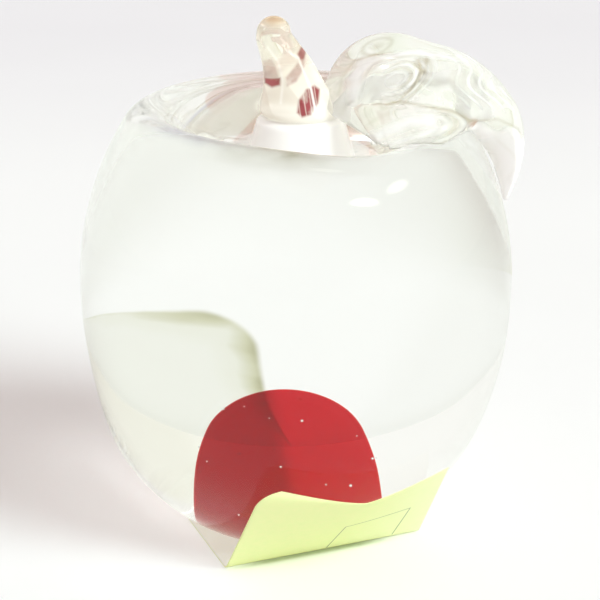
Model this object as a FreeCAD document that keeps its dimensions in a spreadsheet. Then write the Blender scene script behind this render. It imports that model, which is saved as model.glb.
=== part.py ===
# Clear art glass apple with a ruby core, a twisted stem, a tooled leaf and a paper label.
# Millimetres. +Z is up. The origin is on the apple's axis, on the surface that it rests on.
# -Y is the front, with the folded-up flap of the label. +X is the side that the leaf hangs down.
import FreeCAD, Part
import math
import os
import re

import Sketcher
from FreeCAD import Placement, Rotation, Vector

# Driving sizes: word, value, what it is. Lengths in mm, angles in degrees.
SIZES = [
    ("belly_radius", 38.0, "apple, at its widest ring"),
    ("belly_height", 44.0, "widest ring above the table"),
    ("base_inset", 20.2, "edge of the flat ground face, in from the belly"),
    ("heel_inset", 2.0, "round of the glass under the belly, less than the belly's own radius"),
    ("crest_inset", 12.4, "highest ring of the shoulder, in from the belly"),
    ("crest_height", 75.0, "highest ring of the shoulder above the table"),
    ("crest_round", 5.0, "rolled lip where the shoulder turns into the dimple"),
    ("dimple_depth", 13.0, "lowest point of the dimple below the crest"),
    ("core_radius", 10.5, "ruby core at its widest"),
    ("core_base_inset", 0.9, "flat underside of the ruby core, in from its widest ring"),
    ("core_base_height", 2.2, "underside of the ruby core above the table"),
    ("core_wide_rise", 9.8, "widest ring of the ruby core above its underside"),
    ("core_height", 26.8, "ruby core from its underside to its top"),
    ("core_crown_inset", 1.2, "round on top of the ruby core, less than its widest radius"),
    ("core_shift", -1.2, "ruby core off the axis, to the left"),
    ("foot_top_radius", 7.4, "stem's foot under the twist"),
    ("foot_spread", 3.6, "how much wider the foot is at its underside"),
    ("foot_rise", 11.6, "top of the foot above the floor of the dimple"),
    ("foot_bite", 4.0, "foot below the floor of the dimple, before the dimple trims it"),
    ("foot_shift", 0.8, "foot off the axis, to the right"),
    ("stem_root_inset", 0.7, "corner of the twist where it starts, in from the foot"),
    ("stem_root_overlap", 0.4, "start of the twist below the top of the foot"),
    ("stem_length", 14.8, "from the start of the twist to the centre of the round tip"),
    ("stem_tip_radius", 2.9, "round tip of the stem"),
    ("stem_lean", 4.6, "how far the tip leans to the left of the foot"),
    ("stem_twist_angle", 120.0, "turn of the twist from root to tip"),
    ("leaf_root_bite", 1.2, "leaf's root inside the corner of the stem, before the stem trims it"),
    ("leaf_root_lift", 0.4, "leaf's root above the crest"),
    ("leaf_overhang", 12.8, "where the leaf hangs furthest out, beyond the crest ring"),
    ("leaf_rise", 5.4, "from the leaf's root up to the top of its arch"),
    ("leaf_drop", 19.4, "from the leaf's root down to its tip"),
    ("leaf_width", 23.6, "leaf at its widest, from the near edge to the far edge"),
    ("leaf_set_back", 7.8, "how far the leaf's tip lies behind its root"),
    ("leaf_thickness", 4.5, "leaf at its thickest"),
    ("leaf_near_fall", 8.0, "near edge of the leaf below its midrib"),
    ("leaf_far_lift", 4.6, "far edge of the leaf above its midrib"),
    ("label_width", 38.0, "paper label along its fold"),
    ("label_thickness", 0.15, "paper with its adhesive"),
    ("label_flap_height", 23.0, "folded-up flap, along the paper"),
    ("label_back_length", 17.8, "flat part of the label, from the axis to its back edge"),
    ("label_gap", 0.9, "between the flap and the glass"),
    ("label_shift", -4.7, "middle of the label off the apple's middle, along the fold"),
    ("label_turn_angle", -64.6, "way that the flap faces, round the apple's axis"),
]
# What follows from them: each piece is measured from the piece that carries it.
FOLLOWING = {
    "heel_radius": "belly_radius - heel_inset",
    "base_radius": "belly_radius - base_inset",
    "crest_ring_radius": "belly_radius - crest_inset",
    "dimple_floor_height": "crest_height - dimple_depth",
    "core_base_radius": "core_radius - core_base_inset",
    "core_wide_height": "core_base_height + core_wide_rise",
    "core_top_height": "core_base_height + core_height",
    "core_crown_radius": "core_radius - core_crown_inset",
    "foot_low_radius": "foot_top_radius + foot_spread",
    "foot_low_height": "dimple_floor_height - foot_bite",
    "foot_top_height": "dimple_floor_height + foot_rise",
    "stem_root_radius": "foot_top_radius - stem_root_inset",
    "stem_root_height": "foot_top_height - stem_root_overlap",
    "stem_tip_height": "stem_root_height + stem_length",
    "leaf_root_reach": "stem_root_radius - leaf_root_bite",
    "leaf_root_height": "crest_height + leaf_root_lift",
    "leaf_span": "crest_ring_radius + leaf_overhang - leaf_root_reach",
}
WORDS = {word for word, _, _ in SIZES}

doc = FreeCAD.newDocument("glass_apple")
sheet = doc.addObject("Spreadsheet::Sheet", "sizes")
for row, (word, value, note) in enumerate(SIZES, start=1):
    sheet.set(f"A{row}", word)
    sheet.set(f"B{row}", str(value))
    sheet.setAlias(f"B{row}", word)
    sheet.set(f"C{row}", note)
doc.recompute()


def size(word):
    """The value of one size: a driving size, or the sum that a following size is."""
    if word not in FOLLOWING:
        return float(sheet.get(word))
    total, sign = 0.0, 1
    for term in FOLLOWING[word].split():
        if term in ("+", "-"):
            sign = 1 if term == "+" else -1
        else:
            total += sign * size(term)
    return total


def formula(words):
    """A formula over the sizes, with each word turned into a reference to its cell or into its sum."""

    def spelled_out(found):
        word = found[0]
        if word in FOLLOWING:
            return "(" + formula(FOLLOWING[word]) + ")"
        return "sizes." + word if word in WORDS else word

    return re.sub(r"[a-z_]+", spelled_out, words)


def bind(thing, prop, words):
    """Ties one property of an object to a formula over the driving sizes."""
    thing.setExpression(prop, formula(words))


# A sketch's points: the start, end and centre of an element, and its own origin and axes.
START, END, CENTRE = 1, 2, 3
ORIGIN = (-1, 1)
AXIS_INDEX = {"across": -1, "upright": -2}
FULL_TURN = 360


def hold(sketch, *constraint, by=None):
    """Adds a constraint, tied to a formula over the driving sizes where one is given."""
    index = sketch.addConstraint(Sketcher.Constraint(*constraint))
    if by:
        bind(sketch, f"Constraints[{index}]", by)


def add_line(sketch, start, end):
    """A straight line between two points."""
    return sketch.addGeometry(Part.LineSegment(Vector(*start), Vector(*end)), False)


def add_arc(sketch, centre, radius, start_angle, end_angle):
    """An arc about a centre, counter-clockwise from one angle to the other."""
    circle = Part.Circle(Vector(*centre), Vector(0, 0, 1), radius)
    return sketch.addGeometry(Part.ArcOfCircle(circle, start_angle, end_angle), False)


def angle_to(centre, point):
    """The direction from a centre to a point."""
    return math.atan2(point[1] - centre[1], point[0] - centre[0])


def new_body(label):
    """A body with a name of its own."""
    body = doc.addObject("PartDesign::Body", label)
    body.Label = label
    return body


def new_sketch(body, label, role="XZ_Plane"):
    """A sketch on one of the body's own origin planes."""
    sketch = body.newObject("Sketcher::SketchObject", label)
    support = [item for item in body.Origin.OriginFeatures if item.Role == role][0]
    sketch.AttachmentSupport = [(support, "")]
    sketch.MapMode = "FlatFace"
    return sketch


def revolve(body, sketch, label):
    """The sketch turned once round its upright axis."""
    turned = body.newObject("PartDesign::Revolution", label)
    turned.Profile = sketch
    turned.ReferenceAxis = (sketch, ["V_Axis"])
    turned.Angle = FULL_TURN
    return turned


def cut(label, base, tool):
    """What is left of one solid where another one takes its place."""
    result = doc.addObject("Part::Cut", label)
    result.Label = label
    result.Base = base
    result.Tool = tool
    return result


def make_apple_form():
    """The outside of the apple: ground base, heel, belly, shoulder, rolled crest and dimple."""
    body = new_body("apple_form")
    sketch = new_sketch(body, "apple_profile")
    base = size("label_thickness")
    base_radius = size("base_radius")
    belly = (size("belly_radius"), size("belly_height"))
    heel_radius = size("heel_radius")
    heel = (0, base + math.sqrt(heel_radius ** 2 - base_radius ** 2))
    # the flank arc is upright at the belly and runs on from the heel arc
    rise = belly[1] - heel[1]
    flank_radius = (belly[0] ** 2 + rise ** 2 - heel_radius ** 2) / (2 * (belly[0] - heel_radius))
    flank = (belly[0] - flank_radius, belly[1])
    # the shoulder arc is upright at the belly and runs on into the rolled crest
    roll = size("crest_round")
    crest = (size("crest_ring_radius"), size("crest_height") - roll)
    inset = belly[0] - crest[0]
    rise = crest[1] - belly[1]
    shoulder_radius = (inset ** 2 + rise ** 2 - roll ** 2) / (2 * (inset - roll))
    shoulder = (belly[0] - shoulder_radius, belly[1])
    # the dimple is a round bowl on the axis that the crest runs into
    floor = size("dimple_floor_height")
    fall = floor - crest[1]
    bowl_radius = (crest[0] ** 2 + fall ** 2 - roll ** 2) / (2 * (roll - fall))
    bowl = (0, floor + bowl_radius)

    low = add_line(sketch, (0, base), (base_radius, base))
    heel_start = angle_to(heel, (base_radius, base))
    heel_end = angle_to(flank, heel)
    heel_arc = add_arc(sketch, heel, heel_radius, heel_start, heel_end)
    flank_arc = add_arc(sketch, flank, flank_radius, heel_end, 0)
    shoulder_end = angle_to(shoulder, crest)
    shoulder_arc = add_arc(sketch, shoulder, shoulder_radius, 0, shoulder_end)
    crest_end = angle_to(crest, bowl)
    crest_arc = add_arc(sketch, crest, roll, shoulder_end, crest_end)
    bowl_arc = add_arc(sketch, bowl, bowl_radius, -math.pi / 2, angle_to(bowl, crest))
    axis = add_line(sketch, (0, floor), (0, base))

    hold(sketch, "PointOnObject", low, START, AXIS_INDEX["upright"])
    hold(sketch, "DistanceY", *ORIGIN, low, START, base, by="label_thickness")
    hold(sketch, "Horizontal", low)
    hold(sketch, "DistanceX", low, START, low, END, base_radius, by="base_radius")
    hold(sketch, "Coincident", low, END, heel_arc, START)
    hold(sketch, "PointOnObject", heel_arc, CENTRE, AXIS_INDEX["upright"])
    hold(sketch, "Radius", heel_arc, heel_radius, by="heel_radius")
    hold(sketch, "Tangent", heel_arc, END, flank_arc, START)
    hold(sketch, "Tangent", flank_arc, END, shoulder_arc, START)
    hold(sketch, "Horizontal", flank_arc, CENTRE, flank_arc, END)
    hold(sketch, "DistanceX", *ORIGIN, flank_arc, END, belly[0], by="belly_radius")
    hold(sketch, "DistanceY", *ORIGIN, flank_arc, END, belly[1], by="belly_height")
    hold(sketch, "Tangent", shoulder_arc, END, crest_arc, START)
    hold(sketch, "DistanceX", *ORIGIN, crest_arc, CENTRE, crest[0], by="crest_ring_radius")
    hold(sketch, "DistanceY", *ORIGIN, crest_arc, CENTRE, crest[1], by="crest_height - crest_round")
    hold(sketch, "Radius", crest_arc, roll, by="crest_round")
    hold(sketch, "Tangent", crest_arc, END, bowl_arc, END)
    hold(sketch, "PointOnObject", bowl_arc, CENTRE, AXIS_INDEX["upright"])
    hold(sketch, "PointOnObject", bowl_arc, START, AXIS_INDEX["upright"])
    hold(sketch, "DistanceY", *ORIGIN, bowl_arc, START, floor, by="dimple_floor_height")
    hold(sketch, "Coincident", bowl_arc, START, axis, START)
    hold(sketch, "Coincident", axis, END, low, START)
    revolve(body, sketch, "apple_turned")
    return body


def make_ruby_core():
    """The ruby dome: flat underside, flank that swells a little, round crown."""
    body = new_body("ruby_core")
    sketch = new_sketch(body, "core_profile")
    foot = (size("core_base_radius"), size("core_base_height"))
    wide = (size("core_radius"), size("core_wide_height"))
    top = size("core_top_height")
    crown_radius = size("core_crown_radius")
    crown = (0, top - crown_radius)
    # both flank arcs are upright at the widest ring: one ends on the underside, one in the crown
    inset = wide[0] - foot[0]
    fall = wide[1] - foot[1]
    low_radius = (inset ** 2 + fall ** 2) / (2 * inset)
    low_centre = (wide[0] - low_radius, wide[1])
    rise = crown[1] - wide[1]
    flank_radius = (wide[0] ** 2 + rise ** 2 - crown_radius ** 2) / (2 * (wide[0] - crown_radius))
    flank_centre = (wide[0] - flank_radius, wide[1])

    low = add_line(sketch, (0, foot[1]), foot)
    low_arc = add_arc(sketch, low_centre, low_radius, angle_to(low_centre, foot), 0)
    flank_end = angle_to(flank_centre, crown)
    flank_arc = add_arc(sketch, flank_centre, flank_radius, 0, flank_end)
    crown_arc = add_arc(sketch, crown, crown_radius, flank_end, math.pi / 2)
    axis = add_line(sketch, (0, top), (0, foot[1]))

    hold(sketch, "PointOnObject", low, START, AXIS_INDEX["upright"])
    hold(sketch, "DistanceY", *ORIGIN, low, START, foot[1], by="core_base_height")
    hold(sketch, "Horizontal", low)
    hold(sketch, "DistanceX", low, START, low, END, foot[0], by="core_base_radius")
    hold(sketch, "Coincident", low, END, low_arc, START)
    hold(sketch, "Tangent", low_arc, END, flank_arc, START)
    hold(sketch, "DistanceX", *ORIGIN, low_arc, END, wide[0], by="core_radius")
    hold(sketch, "DistanceY", *ORIGIN, low_arc, END, wide[1], by="core_wide_height")
    hold(sketch, "Horizontal", low_arc, CENTRE, low_arc, END)
    hold(sketch, "Tangent", flank_arc, END, crown_arc, START)
    hold(sketch, "PointOnObject", crown_arc, CENTRE, AXIS_INDEX["upright"])
    hold(sketch, "PointOnObject", crown_arc, END, AXIS_INDEX["upright"])
    hold(sketch, "DistanceY", *ORIGIN, crown_arc, END, top, by="core_top_height")
    hold(sketch, "Radius", crown_arc, crown_radius, by="core_crown_radius")
    hold(sketch, "Coincident", crown_arc, END, axis, START)
    hold(sketch, "Coincident", axis, END, low, START)
    revolve(body, sketch, "core_turned")
    bind(body, "Placement.Base.x", "core_shift")
    return body


# Stations of the twist from root to tip, as shares: height, thinning, lean, turn, and squareness.
STEM_STATION_SHARES = [
    (0.00, 0.00, 0.00, 0.00, 1.00),
    (0.22, 0.20, 0.08, 0.20, 1.16),
    (0.46, 0.45, 0.27, 0.42, 1.22),
    (0.68, 0.66, 0.50, 0.64, 1.20),
    (0.84, 0.82, 0.76, 0.82, 1.12),
    (1.00, 1.00, 1.00, 1.00, 1.00),
]


def make_stem_form():
    """The stem before the dimple trims its foot: a flared foot, a twisted taper and a round tip."""
    body = new_body("stem_form")
    foot = body.newObject("PartDesign::AdditiveCone", "stem_foot")
    bind(foot, "Radius1", "foot_low_radius")
    bind(foot, "Radius2", "foot_top_radius")
    bind(foot, "Height", "foot_top_height - foot_low_height")
    bind(foot, "Placement.Base.x", "foot_shift")
    bind(foot, "Placement.Base.z", "foot_low_height")
    sketches = []
    for number, (height, thinning, lean, turn, squareness) in enumerate(STEM_STATION_SHARES, start=1):
        sketch = new_sketch(body, f"twist_station_{number}", "XY_Plane")
        radius = size("stem_root_radius") + thinning * (size("stem_tip_radius") - size("stem_root_radius"))
        radius_formula = f"stem_root_radius + {thinning} * (stem_tip_radius - stem_root_radius)"
        # four bulged sides between four corners; a squareness of 1 makes the ring round
        bulge = squareness * radius
        corners = [(radius, 0), (0, radius), (-radius, 0), (0, -radius)]
        half_side = math.hypot(radius, radius) / 2
        back = math.sqrt(bulge ** 2 - half_side ** 2) - half_side
        arcs = []
        for side, corner in enumerate(corners):
            following = corners[(side + 1) % len(corners)]
            facing = angle_to((0, 0), (corner[0] + following[0], corner[1] + following[1]))
            centre = (-back * math.cos(facing), -back * math.sin(facing))
            arcs.append(add_arc(sketch, centre, bulge, angle_to(centre, corner), angle_to(centre, following)))
        for side, arc in enumerate(arcs):
            hold(sketch, "Coincident", arc, END, arcs[(side + 1) % len(arcs)], START)
            hold(sketch, "Radius", arc, bulge, by=f"{squareness} * ({radius_formula})")
            hold(sketch, "PointOnObject", arc, START, AXIS_INDEX["upright" if side % 2 else "across"])
        hold(sketch, "DistanceX", *ORIGIN, arcs[0], START, radius, by=radius_formula)
        hold(sketch, "DistanceY", *ORIGIN, arcs[1], START, radius, by=radius_formula)
        hold(sketch, "DistanceX", arcs[2], START, *ORIGIN, radius, by=radius_formula)
        hold(sketch, "DistanceY", arcs[3], START, *ORIGIN, radius, by=radius_formula)
        bind(sketch, "AttachmentOffset.Base.x", f"foot_shift - {lean} * stem_lean")
        bind(sketch, "AttachmentOffset.Base.z",
             f"stem_root_height + {height} * (stem_tip_height - stem_root_height)")
        bind(sketch, "AttachmentOffset.Rotation.Angle", f"{turn} * stem_twist_angle")
        sketches.append(sketch)
    doc.recompute()
    twist = body.newObject("PartDesign::AdditiveLoft", "stem_twist")
    twist.Profile = sketches[0]
    twist.Sections = sketches[1:]
    doc.recompute()
    tip = body.newObject("PartDesign::AdditiveSphere", "stem_tip")
    bind(tip, "Radius", "stem_tip_radius")
    bind(tip, "Placement.Base.x", "foot_shift - stem_lean")
    bind(tip, "Placement.Base.z", "stem_tip_height")
    return body


# Stations of the leaf from root to tip. The midrib's place is given as shares of the span, of the
# rise (up) or drop (down), and of the set-back. The near and far half-widths are shares of the
# leaf's width; the fall, lift and both thicknesses are shares of the sizes of those names.
LEAF_STATION_SHARES = [
    # across, up, down, back, near half, far half, fall, lift, upper and lower thickness
    (0.00, 0.00, 0.00, 0.04, 0.16, 0.12, 0.10, 0.10, 0.80, 0.80),
    (0.205, 0.65, 0.00, 0.12, 0.40, 0.27, 0.60, 0.75, 0.95, 0.95),
    (0.362, 0.97, 0.00, 0.17, 0.60, 0.36, 1.00, 1.00, 1.00, 1.00),
    (0.529, 0.94, 0.00, 0.25, 0.64, 0.36, 0.92, 0.65, 1.00, 1.00),
    (0.696, 0.76, 0.00, 0.40, 0.55, 0.34, 0.60, 0.40, 1.00, 1.00),
    (0.851, 0.20, 0.00, 0.60, 0.42, 0.32, 0.30, 0.20, 0.92, 1.30),
    (0.967, 0.00, 0.19, 0.78, 0.32, 0.29, 0.12, 0.10, 0.86, 1.60),
    (1.000, 0.00, 0.48, 0.94, 0.23, 0.25, 0.06, 0.06, 0.80, 1.20),
    (0.982, 0.00, 0.76, 1.00, 0.15, 0.17, 0.00, 0.00, 0.66, 0.66),
    (0.963, 0.00, 1.00, 1.00, 0.05, 0.06, 0.00, 0.00, 0.40, 0.40),
]
# A leaf section's upper side and underside, from the near edge to the far edge: place across the
# half-width, and height off the section's bowed middle line as a share of the thickness.
LEAF_UPPER_SHARES = [
    (-1.0, 0.12), (-0.86, 0.40), (-0.45, 0.52), (0.0, 0.24), (0.45, 0.52), (0.86, 0.40), (1.0, 0.12),
]
LEAF_UNDER_SHARES = [(-1.0, -0.12), (-0.82, -0.38), (-0.4, -0.48), (0.4, -0.48), (0.82, -0.38), (1.0, -0.12)]


def make_leaf_form():
    """The leaf before the apple and the stem trim it, lofted through closed sections."""
    stations = []
    for across, up, down, back, near, far, fall, lift, over, under in LEAF_STATION_SHARES:
        spot = Vector(size("leaf_root_reach") + across * size("leaf_span"),
                      back * size("leaf_set_back"),
                      size("leaf_root_height") + up * size("leaf_rise") - down * size("leaf_drop"))
        stations.append((spot, near * size("leaf_width"), far * size("leaf_width"),
                         fall * size("leaf_near_fall"), lift * size("leaf_far_lift"),
                         over * size("leaf_thickness"), under * size("leaf_thickness")))
    sections = []
    for number, (spot, near, far, fall, lift, over, under) in enumerate(stations):
        before = stations[max(number - 1, 0)][0]
        after = stations[min(number + 1, len(stations) - 1)][0]
        along = Vector(after.x - before.x, 0, after.z - before.z).normalize()
        outward = Vector(-along.z, 0, along.x)

        def side_points(shares, thick):
            points = []
            for place, height in shares:
                sideways = place * (near if place < 0 else far)
                bow = -fall * place ** 2 if place < 0 else lift * place ** 2
                points.append(spot + Vector(0, sideways, 0) + outward * (bow + height * thick))
            return points

        upper, lower = side_points(LEAF_UPPER_SHARES, over), side_points(LEAF_UNDER_SHARES, under)
        over_curve = Part.BSplineCurve()
        over_curve.interpolate(Points=upper)
        under_curve = Part.BSplineCurve()
        under_curve.interpolate(Points=lower[::-1])
        far_edge = Part.LineSegment(upper[-1], lower[-1])
        near_edge = Part.LineSegment(lower[0], upper[0])
        outline = [over_curve, far_edge, under_curve, near_edge]
        sections.append(Part.Wire([curve.toShape() for curve in outline]))
    leaf = doc.addObject("Part::Feature", "leaf_form")
    leaf.Shape = Part.makeLoft(sections, True, False)
    leaf.Placement = Placement(Vector(0, 0, 0), Rotation())
    return leaf


def make_paper_label():
    """The label: a flat back stuck under the base, and a flap that follows the heel of the glass."""
    body = new_body("paper_label")
    sketch = new_sketch(body, "label_profile")
    paper = size("label_thickness")
    back = -size("label_back_length")
    inner_radius = size("heel_radius") + size("label_gap")
    outer_radius = inner_radius + paper
    rise = math.sqrt(size("heel_radius") ** 2 - size("base_radius") ** 2)
    centre = (0, paper + rise)
    inner_fold = (math.sqrt(inner_radius ** 2 - rise ** 2), paper)
    outer_fold = (math.sqrt(outer_radius ** 2 - centre[1] ** 2), 0)
    flap_angle = size("label_flap_height") / outer_radius
    flap_end = angle_to(centre, outer_fold) + flap_angle
    inner_end = (inner_radius * math.cos(flap_end), centre[1] + inner_radius * math.sin(flap_end))
    outer_end = (outer_radius * math.cos(flap_end), centre[1] + outer_radius * math.sin(flap_end))

    under = add_line(sketch, (back, 0), outer_fold)
    outer = add_arc(sketch, centre, outer_radius, angle_to(centre, outer_fold), flap_end)
    rim = add_line(sketch, outer_end, inner_end)
    inner = add_arc(sketch, centre, inner_radius, angle_to(centre, inner_fold), flap_end)
    over = add_line(sketch, inner_fold, (back, paper))
    edge = add_line(sketch, (back, paper), (back, 0))

    heel_rise = "sqrt(heel_radius ^ 2 - base_radius ^ 2)"
    outer_formula = "heel_radius + label_gap + label_thickness"
    hold(sketch, "PointOnObject", under, START, AXIS_INDEX["across"])
    hold(sketch, "DistanceX", under, START, *ORIGIN, -back, by="label_back_length")
    hold(sketch, "Horizontal", under)
    hold(sketch, "Coincident", under, END, outer, START)
    hold(sketch, "PointOnObject", outer, CENTRE, AXIS_INDEX["upright"])
    hold(sketch, "DistanceY", *ORIGIN, outer, CENTRE, centre[1], by=f"label_thickness + {heel_rise}")
    hold(sketch, "Radius", outer, outer_radius, by=outer_formula)
    hold(sketch, "Angle", outer, flap_angle, by=f"label_flap_height / ({outer_formula}) * 180 / pi")
    hold(sketch, "Coincident", outer, END, rim, START)
    hold(sketch, "Coincident", rim, END, inner, END)
    hold(sketch, "PointOnObject", outer, CENTRE, rim)
    hold(sketch, "Coincident", inner, CENTRE, outer, CENTRE)
    hold(sketch, "Radius", inner, inner_radius, by="heel_radius + label_gap")
    hold(sketch, "Coincident", inner, START, over, START)
    hold(sketch, "Horizontal", over)
    hold(sketch, "Coincident", over, END, edge, START)
    hold(sketch, "Coincident", edge, END, under, START)
    hold(sketch, "Vertical", edge)
    hold(sketch, "DistanceY", edge, END, edge, START, paper, by="label_thickness")

    sheet_of_paper = body.newObject("PartDesign::Pad", "label_sheet")
    sheet_of_paper.Profile = sketch
    sheet_of_paper.Midplane = True
    bind(sheet_of_paper, "Length", "label_width")
    body.setExpression("Placement", formula(
        "placement(vector(-label_shift * sin(label_turn_angle); label_shift * cos(label_turn_angle); 0); "
        "rotation(vector(0; 0; 1); label_turn_angle))"))
    return body


apple_form = make_apple_form()
ruby_core = make_ruby_core()
stem_form = make_stem_form()
leaf_form = make_leaf_form()
paper_label = make_paper_label()
doc.recompute()
glass_body = cut("glass_body", apple_form, ruby_core)
stem = cut("stem", stem_form, apple_form)
leaf_on_apple = cut("leaf_on_apple", leaf_form, apple_form)
leaf = cut("leaf", leaf_on_apple, stem_form)
doc.recompute()

nodes = [glass_body, ruby_core, stem, leaf, paper_label]
for item in doc.Objects:
    if "Invalid" in item.State or "Error" in item.State:
        raise RuntimeError(f"{item.Label} could not be made: {item.State}")
for node in nodes:
    shape = node.Shape
    if shape.isNull() or not shape.isValid() or len(shape.Solids) != 1:
        raise RuntimeError(f"{node.Label} is not one valid solid")

os.makedirs("parts", exist_ok=True)
for node in nodes:
    node.Shape.exportStep(f"parts/{node.Label}.step")
    box = node.Shape.BoundBox
    print(f"{node.Label}: volume {node.Shape.Volume:.1f}, x {box.XMin:.2f} to {box.XMax:.2f}, "
          f"y {box.YMin:.2f} to {box.YMax:.2f}, z {box.ZMin:.2f} to {box.ZMax:.2f}")
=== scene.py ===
"""Clear art glass apple with a ruby core, a twisted stem, a tooled leaf and a paper label.

Metres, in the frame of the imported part: the origin is on the apple's axis on the table, +Z is up,
-Y is the front. Every piece is a surface worked out on a grid of two parameters.
"""
import math

import bpy
import numpy as np
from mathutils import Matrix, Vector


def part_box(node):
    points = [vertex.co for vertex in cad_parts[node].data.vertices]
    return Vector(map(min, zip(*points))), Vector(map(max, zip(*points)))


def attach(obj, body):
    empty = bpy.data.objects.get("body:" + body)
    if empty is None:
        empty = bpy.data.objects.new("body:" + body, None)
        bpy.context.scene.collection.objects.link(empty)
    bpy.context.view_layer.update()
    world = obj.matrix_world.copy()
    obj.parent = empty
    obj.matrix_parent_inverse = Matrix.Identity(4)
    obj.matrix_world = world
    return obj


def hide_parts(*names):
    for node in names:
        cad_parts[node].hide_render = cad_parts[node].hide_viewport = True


bl_info = {
    "name": "Art Glass Apple",
    "version": (1, 0, 0),
    "blender": (4, 5, 0),
    "location": "3D View > Sidebar > Glass Apple",
    "description": "Dresses the packed glass apple with its glass, its label and a stage",
    "category": "Object",
}

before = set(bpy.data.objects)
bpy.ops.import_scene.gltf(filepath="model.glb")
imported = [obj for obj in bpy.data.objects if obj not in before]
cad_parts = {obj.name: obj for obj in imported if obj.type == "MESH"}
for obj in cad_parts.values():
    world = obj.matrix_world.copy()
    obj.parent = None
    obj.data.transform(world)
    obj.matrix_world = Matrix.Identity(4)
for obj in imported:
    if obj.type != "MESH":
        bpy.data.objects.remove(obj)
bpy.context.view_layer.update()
BODY_LOW, BODY_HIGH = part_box("glass_body")
CORE_LOW, CORE_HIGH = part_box("ruby_core")
STEM_LOW, STEM_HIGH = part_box("stem")

TURN = 2 * math.pi
QUARTER = math.pi / 2
BLACK = (0.0, 0.0, 0.0)


# ---------------------------------------------------------------- sizes and colours

def length(name, description, default):
    """A length that a user may change, in metres."""
    return bpy.props.FloatProperty(name=name, description=description, default=default, unit="LENGTH",
                                   subtype="DISTANCE", precision=5)


def angle(name, description, degrees):
    """An angle that a user may change, given in degrees."""
    return bpy.props.FloatProperty(name=name, description=description, default=math.radians(degrees),
                                   unit="ROTATION", subtype="ANGLE")


def colour(name, description, default):
    """A colour that a user may change, linear red, green and blue."""
    return bpy.props.FloatVectorProperty(name=name, description=description, default=default, size=3,
                                         min=0.0, max=1.0, subtype="COLOR")


class GlassAppleSizes(bpy.types.PropertyGroup):
    """Sizes of the apple's pieces."""

    belly_radius: length("Belly radius", "Apple at its widest ring", BODY_HIGH.x)
    belly_height: length("Belly height", "Widest ring above the table", 0.044)
    base_radius: length("Base radius", "Flat ground face under the apple", 0.0178)
    heel_radius: length("Heel radius", "Round of the glass under the belly", 0.036)
    base_height: length("Base height", "Ground face above the table", 0.0002)
    base_edge: length("Base edge", "Rounding where the ground face meets the heel", 0.0006)
    crest_ring: length("Crest ring", "Highest ring of the shoulder, from the axis", 0.0256)
    crest_height: length("Crest height", "Highest ring above the table", BODY_HIGH.z)
    crest_round: length("Crest round", "Rolled lip between the shoulder and the dimple", 0.005)
    dimple_height: length("Dimple height", "Lowest point of the dimple above the table", STEM_LOW.z)
    heel_shift: length("Heel shift", "How far the hand-shaped heel sits to the left", 0.0009)
    shoulder_dip: length("Shoulder dip", "How far the shoulder dips where the leaf lies over it", 0.0028)
    dip_angle: angle("Dip angle", "Middle of the dip, round from the right", -52)
    core_radius: length("Core radius", "Ruby core at its widest", 0.0105)
    core_base_radius: length("Core base radius", "Flat underside of the ruby core", 0.0096)
    core_base_height: length("Core base height", "Underside of the core above the table", CORE_LOW.z)
    core_wide_height: length("Core wide height", "Widest ring of the core above the table", 0.012)
    core_top_height: length("Core top height", "Top of the core above the table", CORE_HIGH.z)
    core_crown: length("Core crown", "Round on top of the core", 0.0093)
    core_shift: length("Core shift", "Core off the axis", -0.0012)
    foot_radius: length("Foot radius", "Stem's foot where it runs out on the dimple", 0.0100)
    foot_top_radius: length("Foot top radius", "Stem's foot under the twist", 0.0075)
    foot_top_height: length("Foot top height", "Top of the foot above the table", 0.0732)
    foot_shift: length("Foot shift", "Foot off the axis, to the right", 0.0008)
    stem_root_radius: length("Stem root radius", "Corner of the twist where it starts", 0.0069)
    stem_tip_radius: length("Stem tip radius", "Round tip of the stem", 0.0029)
    stem_tip_height: length("Stem tip height", "Top of the round tip above the table", STEM_HIGH.z)
    stem_lean: length("Stem lean", "How far the tip leans to the left", 0.0046)
    stem_twist: angle("Stem twist", "Turn of the twist from root to tip", 84)
    leaf_root_reach: length("Leaf root reach", "Leaf's root from the axis", 0.0055)
    leaf_root_height: length("Leaf root height", "Leaf's root above the table", 0.0754)
    leaf_span: length("Leaf span", "From the root to where the leaf hangs furthest out", 0.0329)
    leaf_rise: length("Leaf rise", "From the root up to the top of the arch", 0.0054)
    leaf_drop: length("Leaf drop", "From the root down to the tip", 0.0194)
    leaf_width: length("Leaf width", "Leaf at its widest", 0.0236)
    leaf_set_back: length("Leaf set back", "Tip behind the root", 0.0078)
    leaf_thickness: length("Leaf thickness", "Leaf at its thickest", 0.0045)
    leaf_fall: length("Leaf fall", "Near edge below the midrib", 0.008)
    leaf_lift: length("Leaf lift", "Far edge above the midrib", 0.0046)
    label_width: length("Label width", "Paper label along its fold", 0.0372)
    label_thickness: length("Label thickness", "Paper with its adhesive", 0.00013)
    label_flap: length("Label flap", "Upright flap, along the paper", 0.0229)
    label_back: length("Label back", "Flat part from the axis to its back edge", 0.0178)
    label_fold: length("Label fold", "Fold from the axis", 0.0194)
    label_shift: length("Label shift", "Middle of the label along the fold", -0.0036)
    label_corner: length("Label corner", "Rounded corner of the flap", 0.0038)
    label_skew: angle("Label skew", "How far the flat part runs askew from the fold", 5.6)
    label_turn: angle("Label turn", "Way that the flap faces", -65.4)


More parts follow.
